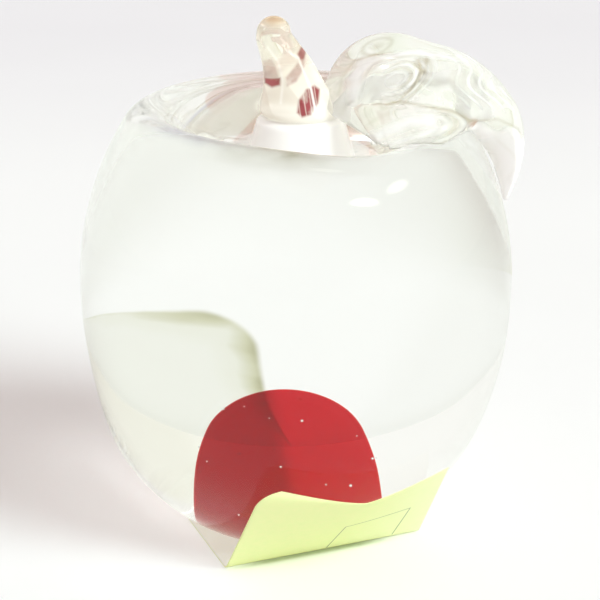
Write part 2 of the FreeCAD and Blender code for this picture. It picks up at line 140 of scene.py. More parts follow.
class GlassAppleColours(bpy.types.PropertyGroup):
    """Colours of the apple's pieces and of the stage, linear."""

    clear: colour("Clear glass", "Faint tint of the thick clear glass", (0.989, 0.989, 0.973))
    # Painted reflections: the grey and olive bands along the rim stand in for what the glass mirrors there.
    rim_grey_reflection: colour("Rim grey", "Drawn band along the left of the rim", (0.30, 0.29, 0.42))
    rim_olive_reflection: colour("Rim olive", "Drawn band along the front of the rim", (0.26, 0.22, 0.06))
    ruby_skin: colour("Ruby skin", "What each face of the core lets through", (0.83, 0.110, 0.150))
    ruby_depth: colour("Ruby depth", "What a deep layer of the core lets through", (0.86, 0.775, 0.78))
    ruby_haze: colour("Ruby haze", "What the core itself scatters", (0.60, 0.04, 0.05))
    ruby_edge: colour("Ruby edge", "Thin edge of the core, seen along its skin", (1.0, 0.55, 0.45))
    ruby_base: colour("Ruby base", "Foot of the core, where light gathers", (1.0, 0.62, 0.52))
    ruby_mirrored: colour("Ruby mirrored", "Core as the dimple and the leaf mirror it", (0.98, 0.96, 0.94))
    stem_cream: colour("Stem cream", "Tint of the drawn stem", (0.99, 0.96, 0.865))
    foot_white: colour("Foot white", "Milky foot of the stem", (0.96, 0.95, 0.92))
    # Painted reflection: the red streaks in the twist stand in for the ruby core mirrored in it.
    stem_core_reflection: colour("Stem ruby", "Streaks in the twist", (0.32, 0.03, 0.04))
    stem_amber: colour("Stem amber", "Tint at the stem's tip", (0.76, 0.54, 0.32))
    leaf_tint: colour("Leaf tint", "Tint of the tooled leaf", (0.982, 0.974, 0.950))
    leaf_green: colour("Leaf green", "Greener clouds in the leaf", (0.950, 0.965, 0.905))
    # Painted highlight: the pale bands in the leaf, and the pale lines on the stem's ridges.
    leaf_highlight: colour("Leaf white", "Pale bands in the leaf", (0.99, 0.99, 0.97))
    leaf_tip: colour("Leaf tip", "Hanging tip of the leaf", (0.985, 0.975, 0.965))
    # Painted shade: the drawn lines along the leaf's folds.
    leaf_shade_line: colour("Leaf line", "Drawn lines in the leaf", (0.50, 0.44, 0.30))
    leaf_brown: colour("Leaf brown", "Specks where the leaf was pinched", (0.50, 0.30, 0.20))
    leaf_glow: colour("Leaf glow", "Light that the leaf gathers", (0.12, 0.12, 0.105))
    label_front: colour("Label front", "Fluorescent yellow-green face of the paper", (0.88, 0.94, 0.51))
    label_pale: colour("Label pale", "Right end of the paper's face", (0.98, 1.0, 0.80))
    label_back: colour("Label back", "White adhesive side of the paper", (0.98, 0.955, 0.925))
    label_ink: colour("Label ink", "Thin printed frame", (0.20, 0.22, 0.12))
    label_shade: colour("Label shade", "Table in front of the label's fold", (0.30, 0.36, 0.12))
    floor: colour("Floor", "Pale table", (0.885, 0.89, 0.875))
    floor_shown: colour("Floor in glass", "Pale table as the glass shows it", (0.900, 0.920, 0.900))
    floor_far: colour("Far floor", "Pale table further back", (0.800, 0.790, 0.80))
    sky: colour("Studio", "Soft light all round", (1.0, 0.87, 0.855))
    key: colour("Key light", "Soft light from the front right", (0.84, 0.99, 1.0))


# ---------------------------------------------------------------- meshes

def make_object(name, mesh, materials, node=None):
    """Links a finished mesh as one piece of the object, riding on the part."""
    piece = bpy.data.objects.new(name, mesh)
    bpy.context.scene.collection.objects.link(piece)
    for each in materials:
        mesh.materials.append(each)
    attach(piece, "root")
    if node:
        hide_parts(node)
    return piece


def round_faces(rings, places):
    """Quads between closed rings of points, and the fans that close them to a low and a high pole,
    whose points come after the rings'. Places run counter-clockwise seen from outside above."""
    here = np.arange(rings * places).reshape(rings, places)
    after = np.roll(here, -1, axis=1)
    quads = np.stack([here[:-1], after[:-1], after[1:], here[1:]], axis=-1).reshape(-1, 4)
    low, high = rings * places, rings * places + 1
    fans = np.concatenate([np.stack([np.full(places, low), after[0], here[0]], axis=-1),
                           np.stack([here[-1], after[-1], np.full(places, high)], axis=-1)])
    return quads, fans


def round_mesh(name, points, low_pole, high_pole):
    """A closed surface from rings x places x 3 points, with a pole at each end."""
    spots = np.concatenate([points.reshape(-1, 3), [low_pole, high_pole]])
    return filled_mesh(name, spots, *round_faces(*points.shape[:2]))


def filled_mesh(name, spots, quads, triangles):
    """A mesh from arrays of points, quads and triangles, smooth shaded."""
    mesh = bpy.data.meshes.new(name)
    loops = np.concatenate([quads.ravel(), triangles.ravel()]).astype(np.int32)
    totals = np.concatenate([np.full(len(quads), 4), np.full(len(triangles), 3)]).astype(np.int32)
    starts = np.concatenate([[0], np.cumsum(totals)[:-1]]).astype(np.int32)
    mesh.vertices.add(len(spots))
    mesh.vertices.foreach_set("co", np.asarray(spots, np.float32).ravel())
    mesh.loops.add(len(loops))
    mesh.loops.foreach_set("vertex_index", loops)
    mesh.polygons.add(len(totals))
    mesh.polygons.foreach_set("loop_start", starts)
    mesh.polygons.foreach_set("loop_total", totals)
    mesh.update(calc_edges=True)
    mesh.validate()
    mesh.shade_smooth()
    return mesh


def write_marks(mesh, name, marks, start=0):
    """Stores three values for each point of a mesh, from one point on, and 0 for the others."""
    values = np.zeros((len(mesh.vertices), 3), np.float32)
    marks = marks.reshape(-1, 3)
    values[start:start + len(marks)] = marks
    mesh.attributes.new(name, "FLOAT_VECTOR", "POINT").data.foreach_set("vector", values.ravel())


def ring(reach, height, turn, shift=0.0):
    """Points round an upright axis that stands off to the side, at a reach and a height."""
    spots = np.broadcast_arrays(shift + reach * np.cos(turn), reach * np.sin(turn), height)
    return np.stack(spots, axis=-1)


def arc(centre, radius, start, end, step):
    """Points (r, z) on an arc from one angle to the other, about a step apart, without its last point."""
    count = max(3, int(abs(end - start) * radius / step))
    turn = np.linspace(start, end, count, endpoint=False)
    return np.stack([centre[0] + radius * np.cos(turn), centre[1] + radius * np.sin(turn)], axis=-1)


def flat_run(reach, height, count):
    """Points (r, z) of a flat face from near the axis out to a reach, without its last point."""
    run = np.linspace(0, reach, count, endpoint=False)[1:]
    return np.stack([run, np.full_like(run, height)], axis=-1)


def towards(centre, point):
    """Direction from a centre to a point, as an angle."""
    return math.atan2(point[1] - centre[1], point[0] - centre[0])


def smooth(low, high, value):
    """0 up to low, 1 from high on, and the cubic 3t^2 - 2t^3 between them."""
    share = np.clip((value - low) / (high - low), 0, 1)
    return share * share * (3 - 2 * share)


def bell(distance, width):
    """The bell curve of a distance over a width: e to the power of minus the square of their ratio."""
    return np.exp(-(distance / width) ** 2)


def through(shares, places):
    """A smooth line through a table of shares: rows are knots, the first column is the knot's place.
    Between knots each value is a cubic with the slopes of its neighbours."""
    table = np.asarray(shares, float)
    knots, values = table[:, 0], table[:, 1:]
    slopes = np.gradient(values, knots, axis=0)
    index = np.clip(np.searchsorted(knots, places, side="right") - 1, 0, len(knots) - 2)
    width = (knots[index + 1] - knots[index])[:, None]
    t = ((places - knots[index])[:, None]) / width
    return ((1 + 2 * t) * (1 - t) ** 2 * values[index] + t * (1 - t) ** 2 * width * slopes[index]
            + t * t * (3 - 2 * t) * values[index + 1] + t * t * (t - 1) * width * slopes[index + 1])


def line_distance(across, up, line):
    """Distance from each place of a plane to a line of several runs: the least over its runs of the
    distance to the nearest place on that run."""
    best = np.full(across.shape, 1.0)
    for (ax, ay), (bx, by) in zip(line[:-1], line[1:]):
        run = (bx - ax) ** 2 + (by - ay) ** 2
        share = np.clip(((across - ax) * (bx - ax) + (up - ay) * (by - ay)) / run, 0, 1)
        best = np.minimum(best, np.hypot(across - ax - share * (bx - ax), up - ay - share * (by - ay)))
    return best


def patch_share(across, up, corners, soft):
    """1 inside a patch with straight sides and 0 outside it: the most that a place lies past any of
    its sides, over a soft edge."""
    middle = np.mean(corners, axis=0)
    past = np.full(across.shape, -1.0)
    for (ax, ay), (bx, by) in zip(corners, corners[1:] + corners[:1]):
        way = np.array([by - ay, ax - bx]) / math.hypot(bx - ax, by - ay)
        way = -way if way @ (middle - (ax, ay)) > 0 else way
        past = np.maximum(past, (across - ax) * way[0] + (up - ay) * way[1])
    return 1 - smooth(-soft, soft, past)


# ---------------------------------------------------------------- materials

class Shading:
    """One node tree, with a short way to add each kind of node. Its place is Object coordinates, or
    the direction in a world."""

    def __init__(self, owner, coordinates="Object"):
        owner.use_nodes = True
        self.owner, self.tree = owner, owner.node_tree
        self.tree.nodes.clear()
        self.place = self.add("TexCoord").outputs[coordinates]

    def add(self, kind, inputs=None, **settings):
        """A node with its settings, and its inputs given as values or as other nodes' outputs."""
        node = self.tree.nodes.new("ShaderNode" + kind)
        for key, value in settings.items():
            setattr(node, key, value)
        for key, value in (inputs or {}).items():
            socket = node.inputs[key]
            if isinstance(value, bpy.types.NodeSocket):
                self.tree.links.new(value, socket)
            elif hasattr(value, "__len__") and len(socket.default_value) == 4 and len(value) == 3:
                socket.default_value = (*value, 1.0)
            else:
                socket.default_value = value
        return node

    def show(self, shader, **others):
        """Sends a shader to a material's output, and gives back the material."""
        self.add("OutputMaterial", {"Surface": shader.outputs[0], **others})
        return self.owner

    def maths(self, operation, first, second=0.0):
        """The value of one sum on sockets or numbers."""
        return self.add("Math", {0: first, 1: second}, operation=operation).outputs[0]

    def times(self, first, *others):
        for other in others:
            first = self.maths("MULTIPLY", first, other)
        return first

    def plus(self, first, *others):
        for other in others:
            first = self.maths("ADD", first, other)
        return first

    def minus(self, first, second):
        return self.maths("SUBTRACT", first, second)

    def most(self, first, second):
        return self.maths("MAXIMUM", first, second)

    def far(self, first, second):
        """Length of two values at right angles."""
        return self.maths("POWER", self.plus(self.times(first, first), self.times(second, second)), 0.5)

    def bell(self, value):
        """The bell curve exp(-value^2)."""
        return self.maths("EXPONENT", self.times(value, value, -1.0))

    def vector(self, operation, first, second=(0.0, 0.0, 0.0)):
        """The same on places and directions."""
        node = self.add("VectorMath", {0: first, 1: second}, operation=operation)
        return node.outputs["Value" if operation in ("DOT_PRODUCT", "LENGTH") else "Vector"]

    def split(self, value):
        """The three parts of a place."""
        return self.add("SeparateXYZ", {"Vector": value}).outputs

    def marks(self, name):
        """The three values that a mesh's points carry under a name."""
        return self.split(self.add("Attribute", attribute_name=name).outputs["Vector"])

    def span(self, value, low, high, start=0.0, end=1.0, **settings):
        """A value between two places, as a straight run from start to end."""
        return self.add("MapRange", {"Value": value, "From Min": low, "From Max": high, "To Min": start,
                                     "To Max": end}, **settings).outputs[0]

    def fade(self, *numbers, **settings):
        """The same as span, eased at both ends by the cubic 3t^2 - 2t^3."""
        return self.span(*numbers, interpolation_type="SMOOTHSTEP", **settings)

    def noise(self, scale, detail=2.0, place=None):
        """Soft noise from 0 to 1."""
        return self.add("TexNoise", {"Vector": place or self.place, "Scale": scale,
                                     "Detail": detail}).outputs["Fac"]

    def mix(self, amount, first, second, blend="MIX"):
        """The first colour, with an amount of the second mixed in."""
        return self.add("Mix", {"Factor": amount, "A": first, "B": second}, data_type="RGBA",
                        blend_type=blend).outputs[2]

    def ramp(self, value, *stops):
        """A colour ramp over stops of (place, colour or grey)."""
        node = self.add("ValToRGB", {"Fac": value})
        band = node.color_ramp
        while len(band.elements) < len(stops):
            band.elements.new(1.0)
        for element, (spot, shade) in zip(band.elements, stops):
            element.position = spot
            element.color = (*shade, 1.0) if hasattr(shade, "__len__") else (shade, shade, shade, 1.0)
        return node.outputs["Color"]

    def waves(self, scale, depth, fine_scale, fine_depth):
        """A bump of broad fire-polished waves and finer tool marks, as a normal."""
        first = self.add("Bump", {"Height": self.noise(scale, 1.0), "Strength": 1.0, "Distance": depth})
        return self.add("Bump", {"Height": self.noise(fine_scale), "Strength": 1.0, "Distance": fine_depth,
                                 "Normal": first.outputs[0]}).outputs[0]


def clear_glass(shades):
    """Thick clear glass: smooth, a faint tint, faint waves, painted grey and olive reflections in bands
    along its rim, and wipe marks in its gloss."""
    t = Shading(bpy.data.materials.new("clear_glass"))
    grey, olive, _ = t.marks("rim_reflection_marks")
    # painted reflections along the rim, grey and olive, broken into streaks
    streaks = t.span(t.noise(140.0), 0.35, 0.60, 0.45)
    tint = t.mix(t.times(grey, streaks), shades.clear, shades.rim_grey_reflection)
    tint = t.mix(t.times(olive, streaks), tint, shades.rim_olive_reflection)
    gloss = t.span(t.noise(60.0, 4.0), 0.55, 0.75, 0.0, 0.02)
    return t.show(t.add("BsdfPrincipled", {
        "Base Color": tint, "Transmission Weight": 1.0, "IOR": 1.5, "Roughness": gloss,
        "Normal": t.waves(28.0, 0.00012, 160.0, 0.000004)}))


def ruby_glass(shades):
    """Ruby glass sealed in clear glass: no edge of its own, a coloured skin with painted shade on the left
    of a border that leans and painted light at its foot, and colour that deepens with thickness."""
    t = Shading(bpy.data.materials.new("ruby_glass"))
    clouds = t.noise(150.0, 3.0)
    haze = t.mix(clouds, shades.ruby_haze, tuple(0.6 * c for c in shades.ruby_haze))
    cast = t.mix(clouds, tuple(0.94 * c for c in shades.ruby_skin), shades.ruby_skin)
    across, _, above = t.split(t.place)
    # painted shade: the skin is darker on the left of a border that leans; painted light: the foot of the
    # core is paler, where light gathers, and has no shade
    border = t.plus(across, t.times(above, 0.15))
    low = t.fade(above, 0.0045, 0.0085, 1.0, 0.0)
    left = t.most(t.fade(border, 0.0002, 0.0028, 0.81), low)
    cast = t.mix(1.0, cast, left, "MULTIPLY")
    cast = t.mix(t.times(low, 0.24), cast, shades.ruby_base)
    # a thin paler edge, where the skin is seen along itself
    along = t.add("LayerWeight", {"Blend": 0.5}).outputs["Facing"]
    cast = t.mix(t.span(along, 0.80, 0.95, 0.0, 0.55), cast, shades.ruby_edge)
    # seen again in the mirrors of the dimple, the stem and the leaf it is much paler
    rays = t.add("LightPath").outputs
    again = t.most(t.maths("GREATER_THAN", rays["Glossy Depth"], 0.5),
                   t.maths("GREATER_THAN", rays["Transmission Depth"], 1.5))
    cast = t.mix(t.times(again, 0.965), cast, shades.ruby_mirrored)
    inner = t.add("BsdfDiffuse", {"Color": haze})
    clear = t.add("BsdfTransparent", {"Color": cast})
    depth = t.add("VolumeAbsorption", {"Color": shades.ruby_depth, "Density": 45.0})
    return t.show(t.add("MixShader", {"Fac": 0.04, 1: clear.outputs[0], 2: inner.outputs[0]}),
                  Volume=depth.outputs[0])


def bubble_glass():
    """Air sealed in glass: the glass ends at the bubble, so its index is the glass's turned over."""
    t = Shading(bpy.data.materials.new("seed_bubble"))
    return t.show(t.add("BsdfPrincipled", {"Base Color": (1.0, 1.0, 1.0), "Transmission Weight": 1.0,
                                           "IOR": 0.667, "Roughness": t.times(t.noise(2000.0), 0.02)}))


# ---------------------------------------------------------------- the body and the core

# How far the dimple's floor rises, and the spacing of rings along the apple's profile.
BOSS = 0.0014
BODY_STEP = 0.00085
# Painted reflections in bands along the front of the rim, grey and olive: middle and half width in
# degrees round from the right, then where the band starts and stops fading on the shoulder.
RIM_REFLECTION_BANDS = [(226, 20, 0.0256, 0.0290), (262, 17, 0.0268, 0.0308)]


def boss(reach):
    """The dimple's floor rises a little under the stem's foot: a soft step round the axis."""
    return BOSS * (1 - smooth(0.003, 0.016, reach))


def apple_outline(sizes, step):
    """The apple's profile (r, z) from the middle of its base to the floor of its dimple: the ground
    face, a small rounded edge, and tangent arcs for heel, flank, shoulder, rolled crest and bowl."""
    low, base, heel_r = sizes.base_height, sizes.base_radius, sizes.heel_radius
    heel = (0.0, low + math.sqrt(heel_r ** 2 - base ** 2))
    edge = sizes.base_edge
    belly = (sizes.belly_radius, sizes.belly_height)
    rise = belly[1] - heel[1]
    flank_r = (belly[0] ** 2 + rise ** 2 - heel_r ** 2) / (2 * (belly[0] - heel_r))
    flank = (belly[0] - flank_r, belly[1])
    roll = sizes.crest_round
    crest = (sizes.crest_ring, sizes.crest_height - roll)
    inset, rise = belly[0] - crest[0], crest[1] - belly[1]
    shoulder_r = (inset ** 2 + rise ** 2 - roll ** 2) / (2 * (inset - roll))
    shoulder = (belly[0] - shoulder_r, belly[1])
    fall = sizes.dimple_height - crest[1]
    bowl_r = (crest[0] ** 2 + fall ** 2 - roll ** 2) / (2 * (roll - fall))
    bowl = (0.0, sizes.dimple_height + bowl_r)
    edge_mid = (math.sqrt((heel_r - edge) ** 2 - (heel[1] - low - edge) ** 2), low + edge)
    heel_start, heel_end = towards(heel, edge_mid), towards(flank, heel)
    shoulder_end, crest_end = towards(shoulder, crest), towards(crest, bowl)
    hollow = arc(bowl, bowl_r, crest_end - math.pi, -QUARTER, step)
    hollow[:, 1] += boss(hollow[:, 0])
    return np.concatenate([
        flat_run(edge_mid[0], low, int(edge_mid[0] / step)),
        arc(edge_mid, edge, -QUARTER, heel_start, step / 8),
        arc(heel, heel_r, heel_start, heel_end, step),
        arc(flank, flank_r, heel_end, 0.0, step),
        arc(shoulder, shoulder_r, 0.0, shoulder_end, step),
        arc(crest, roll, shoulder_end, crest_end, step / 2),
        hollow,
    ]), bowl, bowl_r


def dimple_at(sizes, reach):
    """Height of the dimple's floor at a distance from the axis."""
    _, bowl, bowl_r = apple_outline(sizes, 0.01)
    return bowl[1] - np.sqrt(bowl_r ** 2 - reach ** 2) + boss(reach)


def rim_reflection_marks(turn, reach, height):
    """How strongly the painted grey and olive reflections show along the front of the rolled rim: bell
    curves of the angle round the axis, from the inside of the crest out to the shoulder."""
    start = smooth(0.0234, 0.0242, reach) * smooth(0.068, 0.071, height)
    marks = [bell(np.degrees(turn) - middle, half) * start * (1 - smooth(near, end, reach))
             for middle, half, near, end in RIM_REFLECTION_BANDS]
    return np.stack([*marks, 0 * marks[0]], axis=-1)


class GLASSAPPLE_OT_body(bpy.types.Operator):
    """Make the clear glass apple"""

    bl_idname = "glassapple.body"
    bl_label = "Glass Body"

    def execute(self, context):
        sizes, shades = context.scene.glass_apple_sizes, context.scene.glass_apple_colours
        outline, _, _ = apple_outline(sizes, BODY_STEP)
        turn = np.linspace(0, TURN, 288, endpoint=False)
        reach, height = outline[:, :1], outline[:, 1:]
        # hand-shaped: two faint lobes round the belly, and a heel that sits a little to the left
        lobes = 1 - 0.0022 * smooth(0.0, 0.03, height) * (1 - np.cos(2 * turn + 0.6)) / 2
        shift = -sizes.heel_shift * (1 - smooth(0.006, 0.032, height))
        # the shoulder dips where the leaf lies over it, round to the front on the right
        swing = np.mod(turn - sizes.dip_angle + math.pi, TURN) - math.pi
        dip = sizes.shoulder_dip * bell(swing, math.radians(40)) * smooth(0.046, 0.075, height)
        points = ring(reach * lobes, height, turn, shift)
        points[..., 2] -= dip * smooth(0.010, 0.022, reach)
        mesh = round_mesh("apple_glass", points, (-sizes.heel_shift, 0, sizes.base_height),
                          (0, 0, sizes.dimple_height + boss(0.0)))
        write_marks(mesh, "rim_reflection_marks", rim_reflection_marks(turn, reach, height))
        make_object("apple_glass", mesh, [clear_glass(shades)], "glass_body")
        return {"FINISHED"}


class GLASSAPPLE_OT_core(bpy.types.Operator):
    """Make the ruby core and its seed bubbles"""

    bl_idname = "glassapple.core"
    bl_label = "Ruby Core"

    def execute(self, context):
        sizes, shades = context.scene.glass_apple_sizes, context.scene.glass_apple_colours
        outline = self.outline(sizes, 0.0004)
        turn = np.linspace(0, TURN, 128, endpoint=False)
        points = ring(outline[:, :1], outline[:, 1:], turn, sizes.core_shift)
        mesh = round_mesh("ruby_heart", points, (sizes.core_shift, 0, sizes.core_base_height),
                          (sizes.core_shift, 0, sizes.core_top_height))
        make_object("ruby_heart", mesh, [ruby_glass(shades)], "ruby_core")
        self.bubbles(sizes, outline)
        return {"FINISHED"}

    def outline(self, sizes, step):
        """The core's profile (r, z): a flat underside, and tangent arcs for heel, flank and crown."""
        foot = (sizes.core_base_radius, sizes.core_base_height)
        wide = (sizes.core_radius, sizes.core_wide_height)
        crown_r = sizes.core_crown
        crown = (0.0, sizes.core_top_height - crown_r)
        inset, fall = wide[0] - foot[0], wide[1] - foot[1]
        low_r = (inset ** 2 + fall ** 2) / (2 * inset)
        rise = crown[1] - wide[1]
        flank_r = (wide[0] ** 2 + rise ** 2 - crown_r ** 2) / (2 * (wide[0] - crown_r))
        low, flank = (wide[0] - low_r, wide[1]), (wide[0] - flank_r, wide[1])
        flank_end = towards(flank, crown)
        return np.concatenate([
            flat_run(foot[0], foot[1], 16),
            arc(low, low_r, towards(low, foot), 0.0, step),
            arc(flank, flank_r, 0.0, flank_end, step),
            arc(crown, crown_r, flank_end, QUARTER, step),
        ])

    def bubbles(self, sizes, outline):
        """Seed bubbles strewn just outside the core's side: bubble n stands at n golden angles round
        the axis, and its height and size are shares left over from its square and its cube, so that
        no two line up."""
        n = np.arange(22)
        round_at = n * math.radians(137.508) + 0.4
        share = 0.12 + 0.80 * np.mod(n * n * 0.2915 + 0.21, 1.0)
        side = outline[outline[:, 1] > sizes.core_base_height + 1e-5]
        spot = (share * (len(side) - 1)).astype(int)
        radius = 0.00008 + 0.00013 * np.mod(n ** 3 * 0.1739, 1.0)
        reach = side[spot, 0] + radius + 0.0001
        centres = np.stack([sizes.core_shift + reach * np.cos(round_at), reach * np.sin(round_at),
                            side[spot, 1]], axis=-1)
        turn = np.linspace(0, TURN, 12, endpoint=False)
        lift = np.linspace(-QUARTER, QUARTER, 9)[1:-1, None]
        ball = ring(np.cos(lift), np.sin(lift), turn)
        quads, fans = round_faces(*ball.shape[:2])
        unit = np.concatenate([ball.reshape(-1, 3), [(0, 0, -1), (0, 0, 1)]])
        jump = (n * len(unit))[:, None, None]
        spots = (centres[:, None, :] + radius[:, None, None] * unit[None, :, :]).reshape(-1, 3)
        mesh = filled_mesh("seed_bubbles", spots, (quads[None] + jump).reshape(-1, 4),
                           (fans[None] + jump).reshape(-1, 3))
        make_object("seed_bubbles", mesh, [bubble_glass()], None)


# ---------------------------------------------------------------- the stem

# Rings of the stem above its foot: place, radius and lean, as shares.
STEM_SHARES = [
    (0.000, 0.925, 0.00), (0.030, 0.965, 0.03), (0.080, 0.985, 0.07), (0.130, 0.960, 0.11),
    (0.290, 0.855, 0.17), (0.480, 0.715, 0.33), (0.640, 0.625, 0.49), (0.820, 0.555, 0.76),
    (0.920, 0.500, 0.92), (1.000, 0.430, 1.00),
]
# Facets round the twist, how deep they are as a share, and the gap under the foot.
STEM_RIDGES = 6
STEM_RIDGE_SHARE = 0.34
STEM_CLEAR = 0.00004
# Painted red reflections of the ruby core in the front of the twist and in its back: how deep the red
# is, then corners (x, z).
STEM_CORE_REFLECTIONS = [
    (1.00, [(-0.0054, 0.0806), (-0.0026, 0.0812), (-0.0027, 0.0799), (-0.0041, 0.0793), (-0.0054, 0.0797)]),
    (0.42, [(-0.0056, 0.0833), (-0.0041, 0.0845), (-0.0032, 0.0822), (-0.0028, 0.0808), (-0.0055, 0.0804)]),
    (0.55, [(-0.0017, 0.0813), (0.0001, 0.0834), (0.0015, 0.0844), (0.0014, 0.0827), (0.0001, 0.0806),
            (-0.0015, 0.0799)]),
    (0.95, [(0.0002, 0.0850), (0.0012, 0.0861), (0.0020, 0.0852), (0.0014, 0.0838), (0.0004, 0.0838)]),
    (1.00, [(0.0002, 0.0756), (0.0005, 0.0777), (0.0017, 0.0792), (0.0031, 0.0797), (0.0041, 0.0789),
            (0.0038, 0.0768), (0.0026, 0.0752), (0.0010, 0.0748)]),
]
STEM_CORE_REFLECTIONS_BACK = [
    (0.60, [(-0.0050, 0.0770), (-0.0036, 0.0800), (-0.0020, 0.0806), (-0.0028, 0.0776), (-0.0040, 0.0762)]),
    (0.60, [(0.0006, 0.0785), (0.0022, 0.0802), (0.0036, 0.0790), (0.0030, 0.0770), (0.0014, 0.0768)]),
]
# Half width of the patches' soft edge.
PATCH_EDGE = 0.00032
# Painted highlights along the lines where the facets meet: strength, width, places (x, z).
RIDGE_HIGHLIGHTS = [
    (0.90, 0.00020, [(-0.0015, 0.0857), (0.0004, 0.0843), (0.0026, 0.0791), (0.0033, 0.0759)]),
    (0.55, 0.00022, [(-0.0048, 0.0862), (-0.0030, 0.0838), (-0.0022, 0.0806), (-0.0026, 0.0770)]),
]


class GLASSAPPLE_OT_stem(bpy.types.Operator):
    """Make the flared foot and the twisted stem"""

    bl_idname = "glassapple.stem"
    bl_label = "Stem"

    def execute(self, context):
        sizes, shades = context.scene.glass_apple_sizes, context.scene.glass_apple_colours
        turn = np.linspace(0, TURN, 280, endpoint=False)
        shift = sizes.foot_shift
        # the underside follows the dimple a hair above it, so that it mirrors the light as it does
        # in thick drawn glass
        under = ring(np.linspace(0, sizes.foot_radius, 14)[1:, None], 0.0, turn, shift)
        under[..., 2] = dimple_at(sizes, np.hypot(under[..., 0], under[..., 1])) + STEM_CLEAR
        # the foot is a cone that flares a little where it runs out, and rounds over under the twist
        low = float(dimple_at(sizes, sizes.foot_radius))
        share = np.linspace(0, 1, 26)[1:, None]
        narrow = sizes.foot_radius - sizes.foot_top_radius
        reach = sizes.foot_top_radius + narrow * (0.94 * (1 - share) + 0.06 * (1 - share) ** 4)
        reach = reach - 0.0005 * smooth(0.92, 1.0, share) ** 2
        foot = ring(reach, low + (sizes.foot_top_height - low) * share, turn, shift)
        # the twist: a polygon of flat facets, partly rounded, whose corners climb round the stem
        share = np.linspace(0, 1, 180)[:, None]
        thick, lean = through(STEM_SHARES, share[:, 0]).T[:, :, None]
        top = sizes.stem_tip_height - sizes.stem_tip_radius
        root = sizes.foot_top_height + 0.0003
        fade = smooth(0.02, 0.14, share) * (1 - 0.75 * smooth(0.72, 1.0, share))
        facets = STEM_RIDGE_SHARE * fade * self.facets(turn + sizes.stem_twist * share)
        reach = sizes.stem_root_radius * thick * (1 + facets)
        twist = ring(reach, root + (top - root) * share, turn, shift - lean * sizes.stem_lean)
        # the round tip carries the last section up and in, as a quarter of a circle
        lift = np.linspace(0, QUARTER, 16)[1:-1, None]
        centre = shift - sizes.stem_lean
        tip = ring(reach[-1] * np.cos(lift), top + sizes.stem_tip_radius * np.sin(lift), turn, centre)
        low_pole = (shift, 0, float(dimple_at(sizes, shift)) + STEM_CLEAR)
        mesh = round_mesh("twisted_stem", np.concatenate([under, foot, twist, tip]), low_pole,
                          (centre, 0, sizes.stem_tip_height))
        start = (len(under) + len(foot)) * len(turn)
        write_marks(mesh, "stem_marks", self.marks(turn, twist[..., 0], twist[..., 2]), start)
        make_object("twisted_stem", mesh, [self.material(shades)], "stem")
        return {"FINISHED"}

    def facets(self, swing):
        """A polygon against its circle: cos(half) / cos(place from the facet's middle) - 1, raised so
        that its mean is about 0."""
        half = math.pi / STEM_RIDGES
        place = np.mod(swing, 2 * half) - half
        return math.cos(half) / np.cos(place) - 0.94

    def marks(self, turn, x, z):
        """How strongly the painted red reflections of the core show, with pale threads drawn through the
        lowest one, and the painted highlights on the lines where facets meet."""
        facing = smooth(-0.2, 0.2, -np.sin(turn))[None, :]
        ruby = np.zeros(x.shape)
        for side, patches in ((facing, STEM_CORE_REFLECTIONS), (1 - facing, STEM_CORE_REFLECTIONS_BACK)):
            for depth, corners in patches:
                ruby = np.maximum(ruby, side * depth * patch_share(x, z, corners, PATCH_EDGE))
        threads = bell(np.mod((x + 0.16 * (z - 0.077)) / 0.00100, 1.0) - 0.5, 0.075)
        threads = threads * facing * smooth(0.0, 0.0006, x) * (1 - smooth(0.0800, 0.0806, z))
        lines = [strength * bell(line_distance(x, z, line), width) for strength, width, line in RIDGE_HIGHLIGHTS]
        ridge_highlight = facing * np.maximum(*lines)
        return np.stack([ruby * (1 - 0.55 * threads), ridge_highlight, 0 * x], axis=-1)

    def material(self, shades):
        """Drawn glass: a milky white foot, a cream twist with painted red reflections of the core and painted
        highlights on its ridges, an amber tip, and a painted glow on the foot and the twist.
        """
        t = Shading(bpy.data.materials.new("stem_glass"))
        white, cream = tuple(shades.foot_white), tuple(shades.stem_cream)
        height = t.span(t.split(t.place)[2], 0.070, 0.091)
        tint = t.ramp(height, (0.0, white), (0.15, white), (0.20, cream), (0.905, cream),
                      (0.985, tuple(shades.stem_amber)))
        # painted reflections of the core in red, and painted highlights on the ridges in white
        ruby, ridge_highlight, _ = t.marks("stem_marks")
        thread = t.span(t.noise(420.0), 0.30, 0.46, 0.55)
        tint = t.mix(t.times(ruby, thread), tint, shades.stem_core_reflection)
        tint = t.mix(ridge_highlight, tint, shades.leaf_highlight)
        # painted light: the milky foot glows white, the twist a faint cream, and the highlights on the ridges
        # white; the red reflections and the tip do not glow
        glow = tuple(0.36 * c for c in cream)
        lit = t.ramp(height, (0.0, white), (0.13, white), (0.17, glow), (0.60, glow), (0.90, BLACK))
        lit = t.mix(ridge_highlight, t.mix(ruby, lit, BLACK), shades.leaf_highlight)
        milk = t.ramp(height, (0.0, 0.10), (0.15, 0.10), (0.19, 0.36), (0.50, 0.46), (0.70, 0.86),
                      (0.90, 0.86), (0.96, 0.55))
        return t.show(t.add("BsdfPrincipled", {
            "Base Color": tint, "Transmission Weight": milk, "IOR": 1.4, "Roughness": 0.01,
            "Emission Color": lit, "Emission Strength": 0.22,
            "Normal": t.waves(90.0, 0.00003, 500.0, 0.000003)}))


# ---------------------------------------------------------------- the leaf

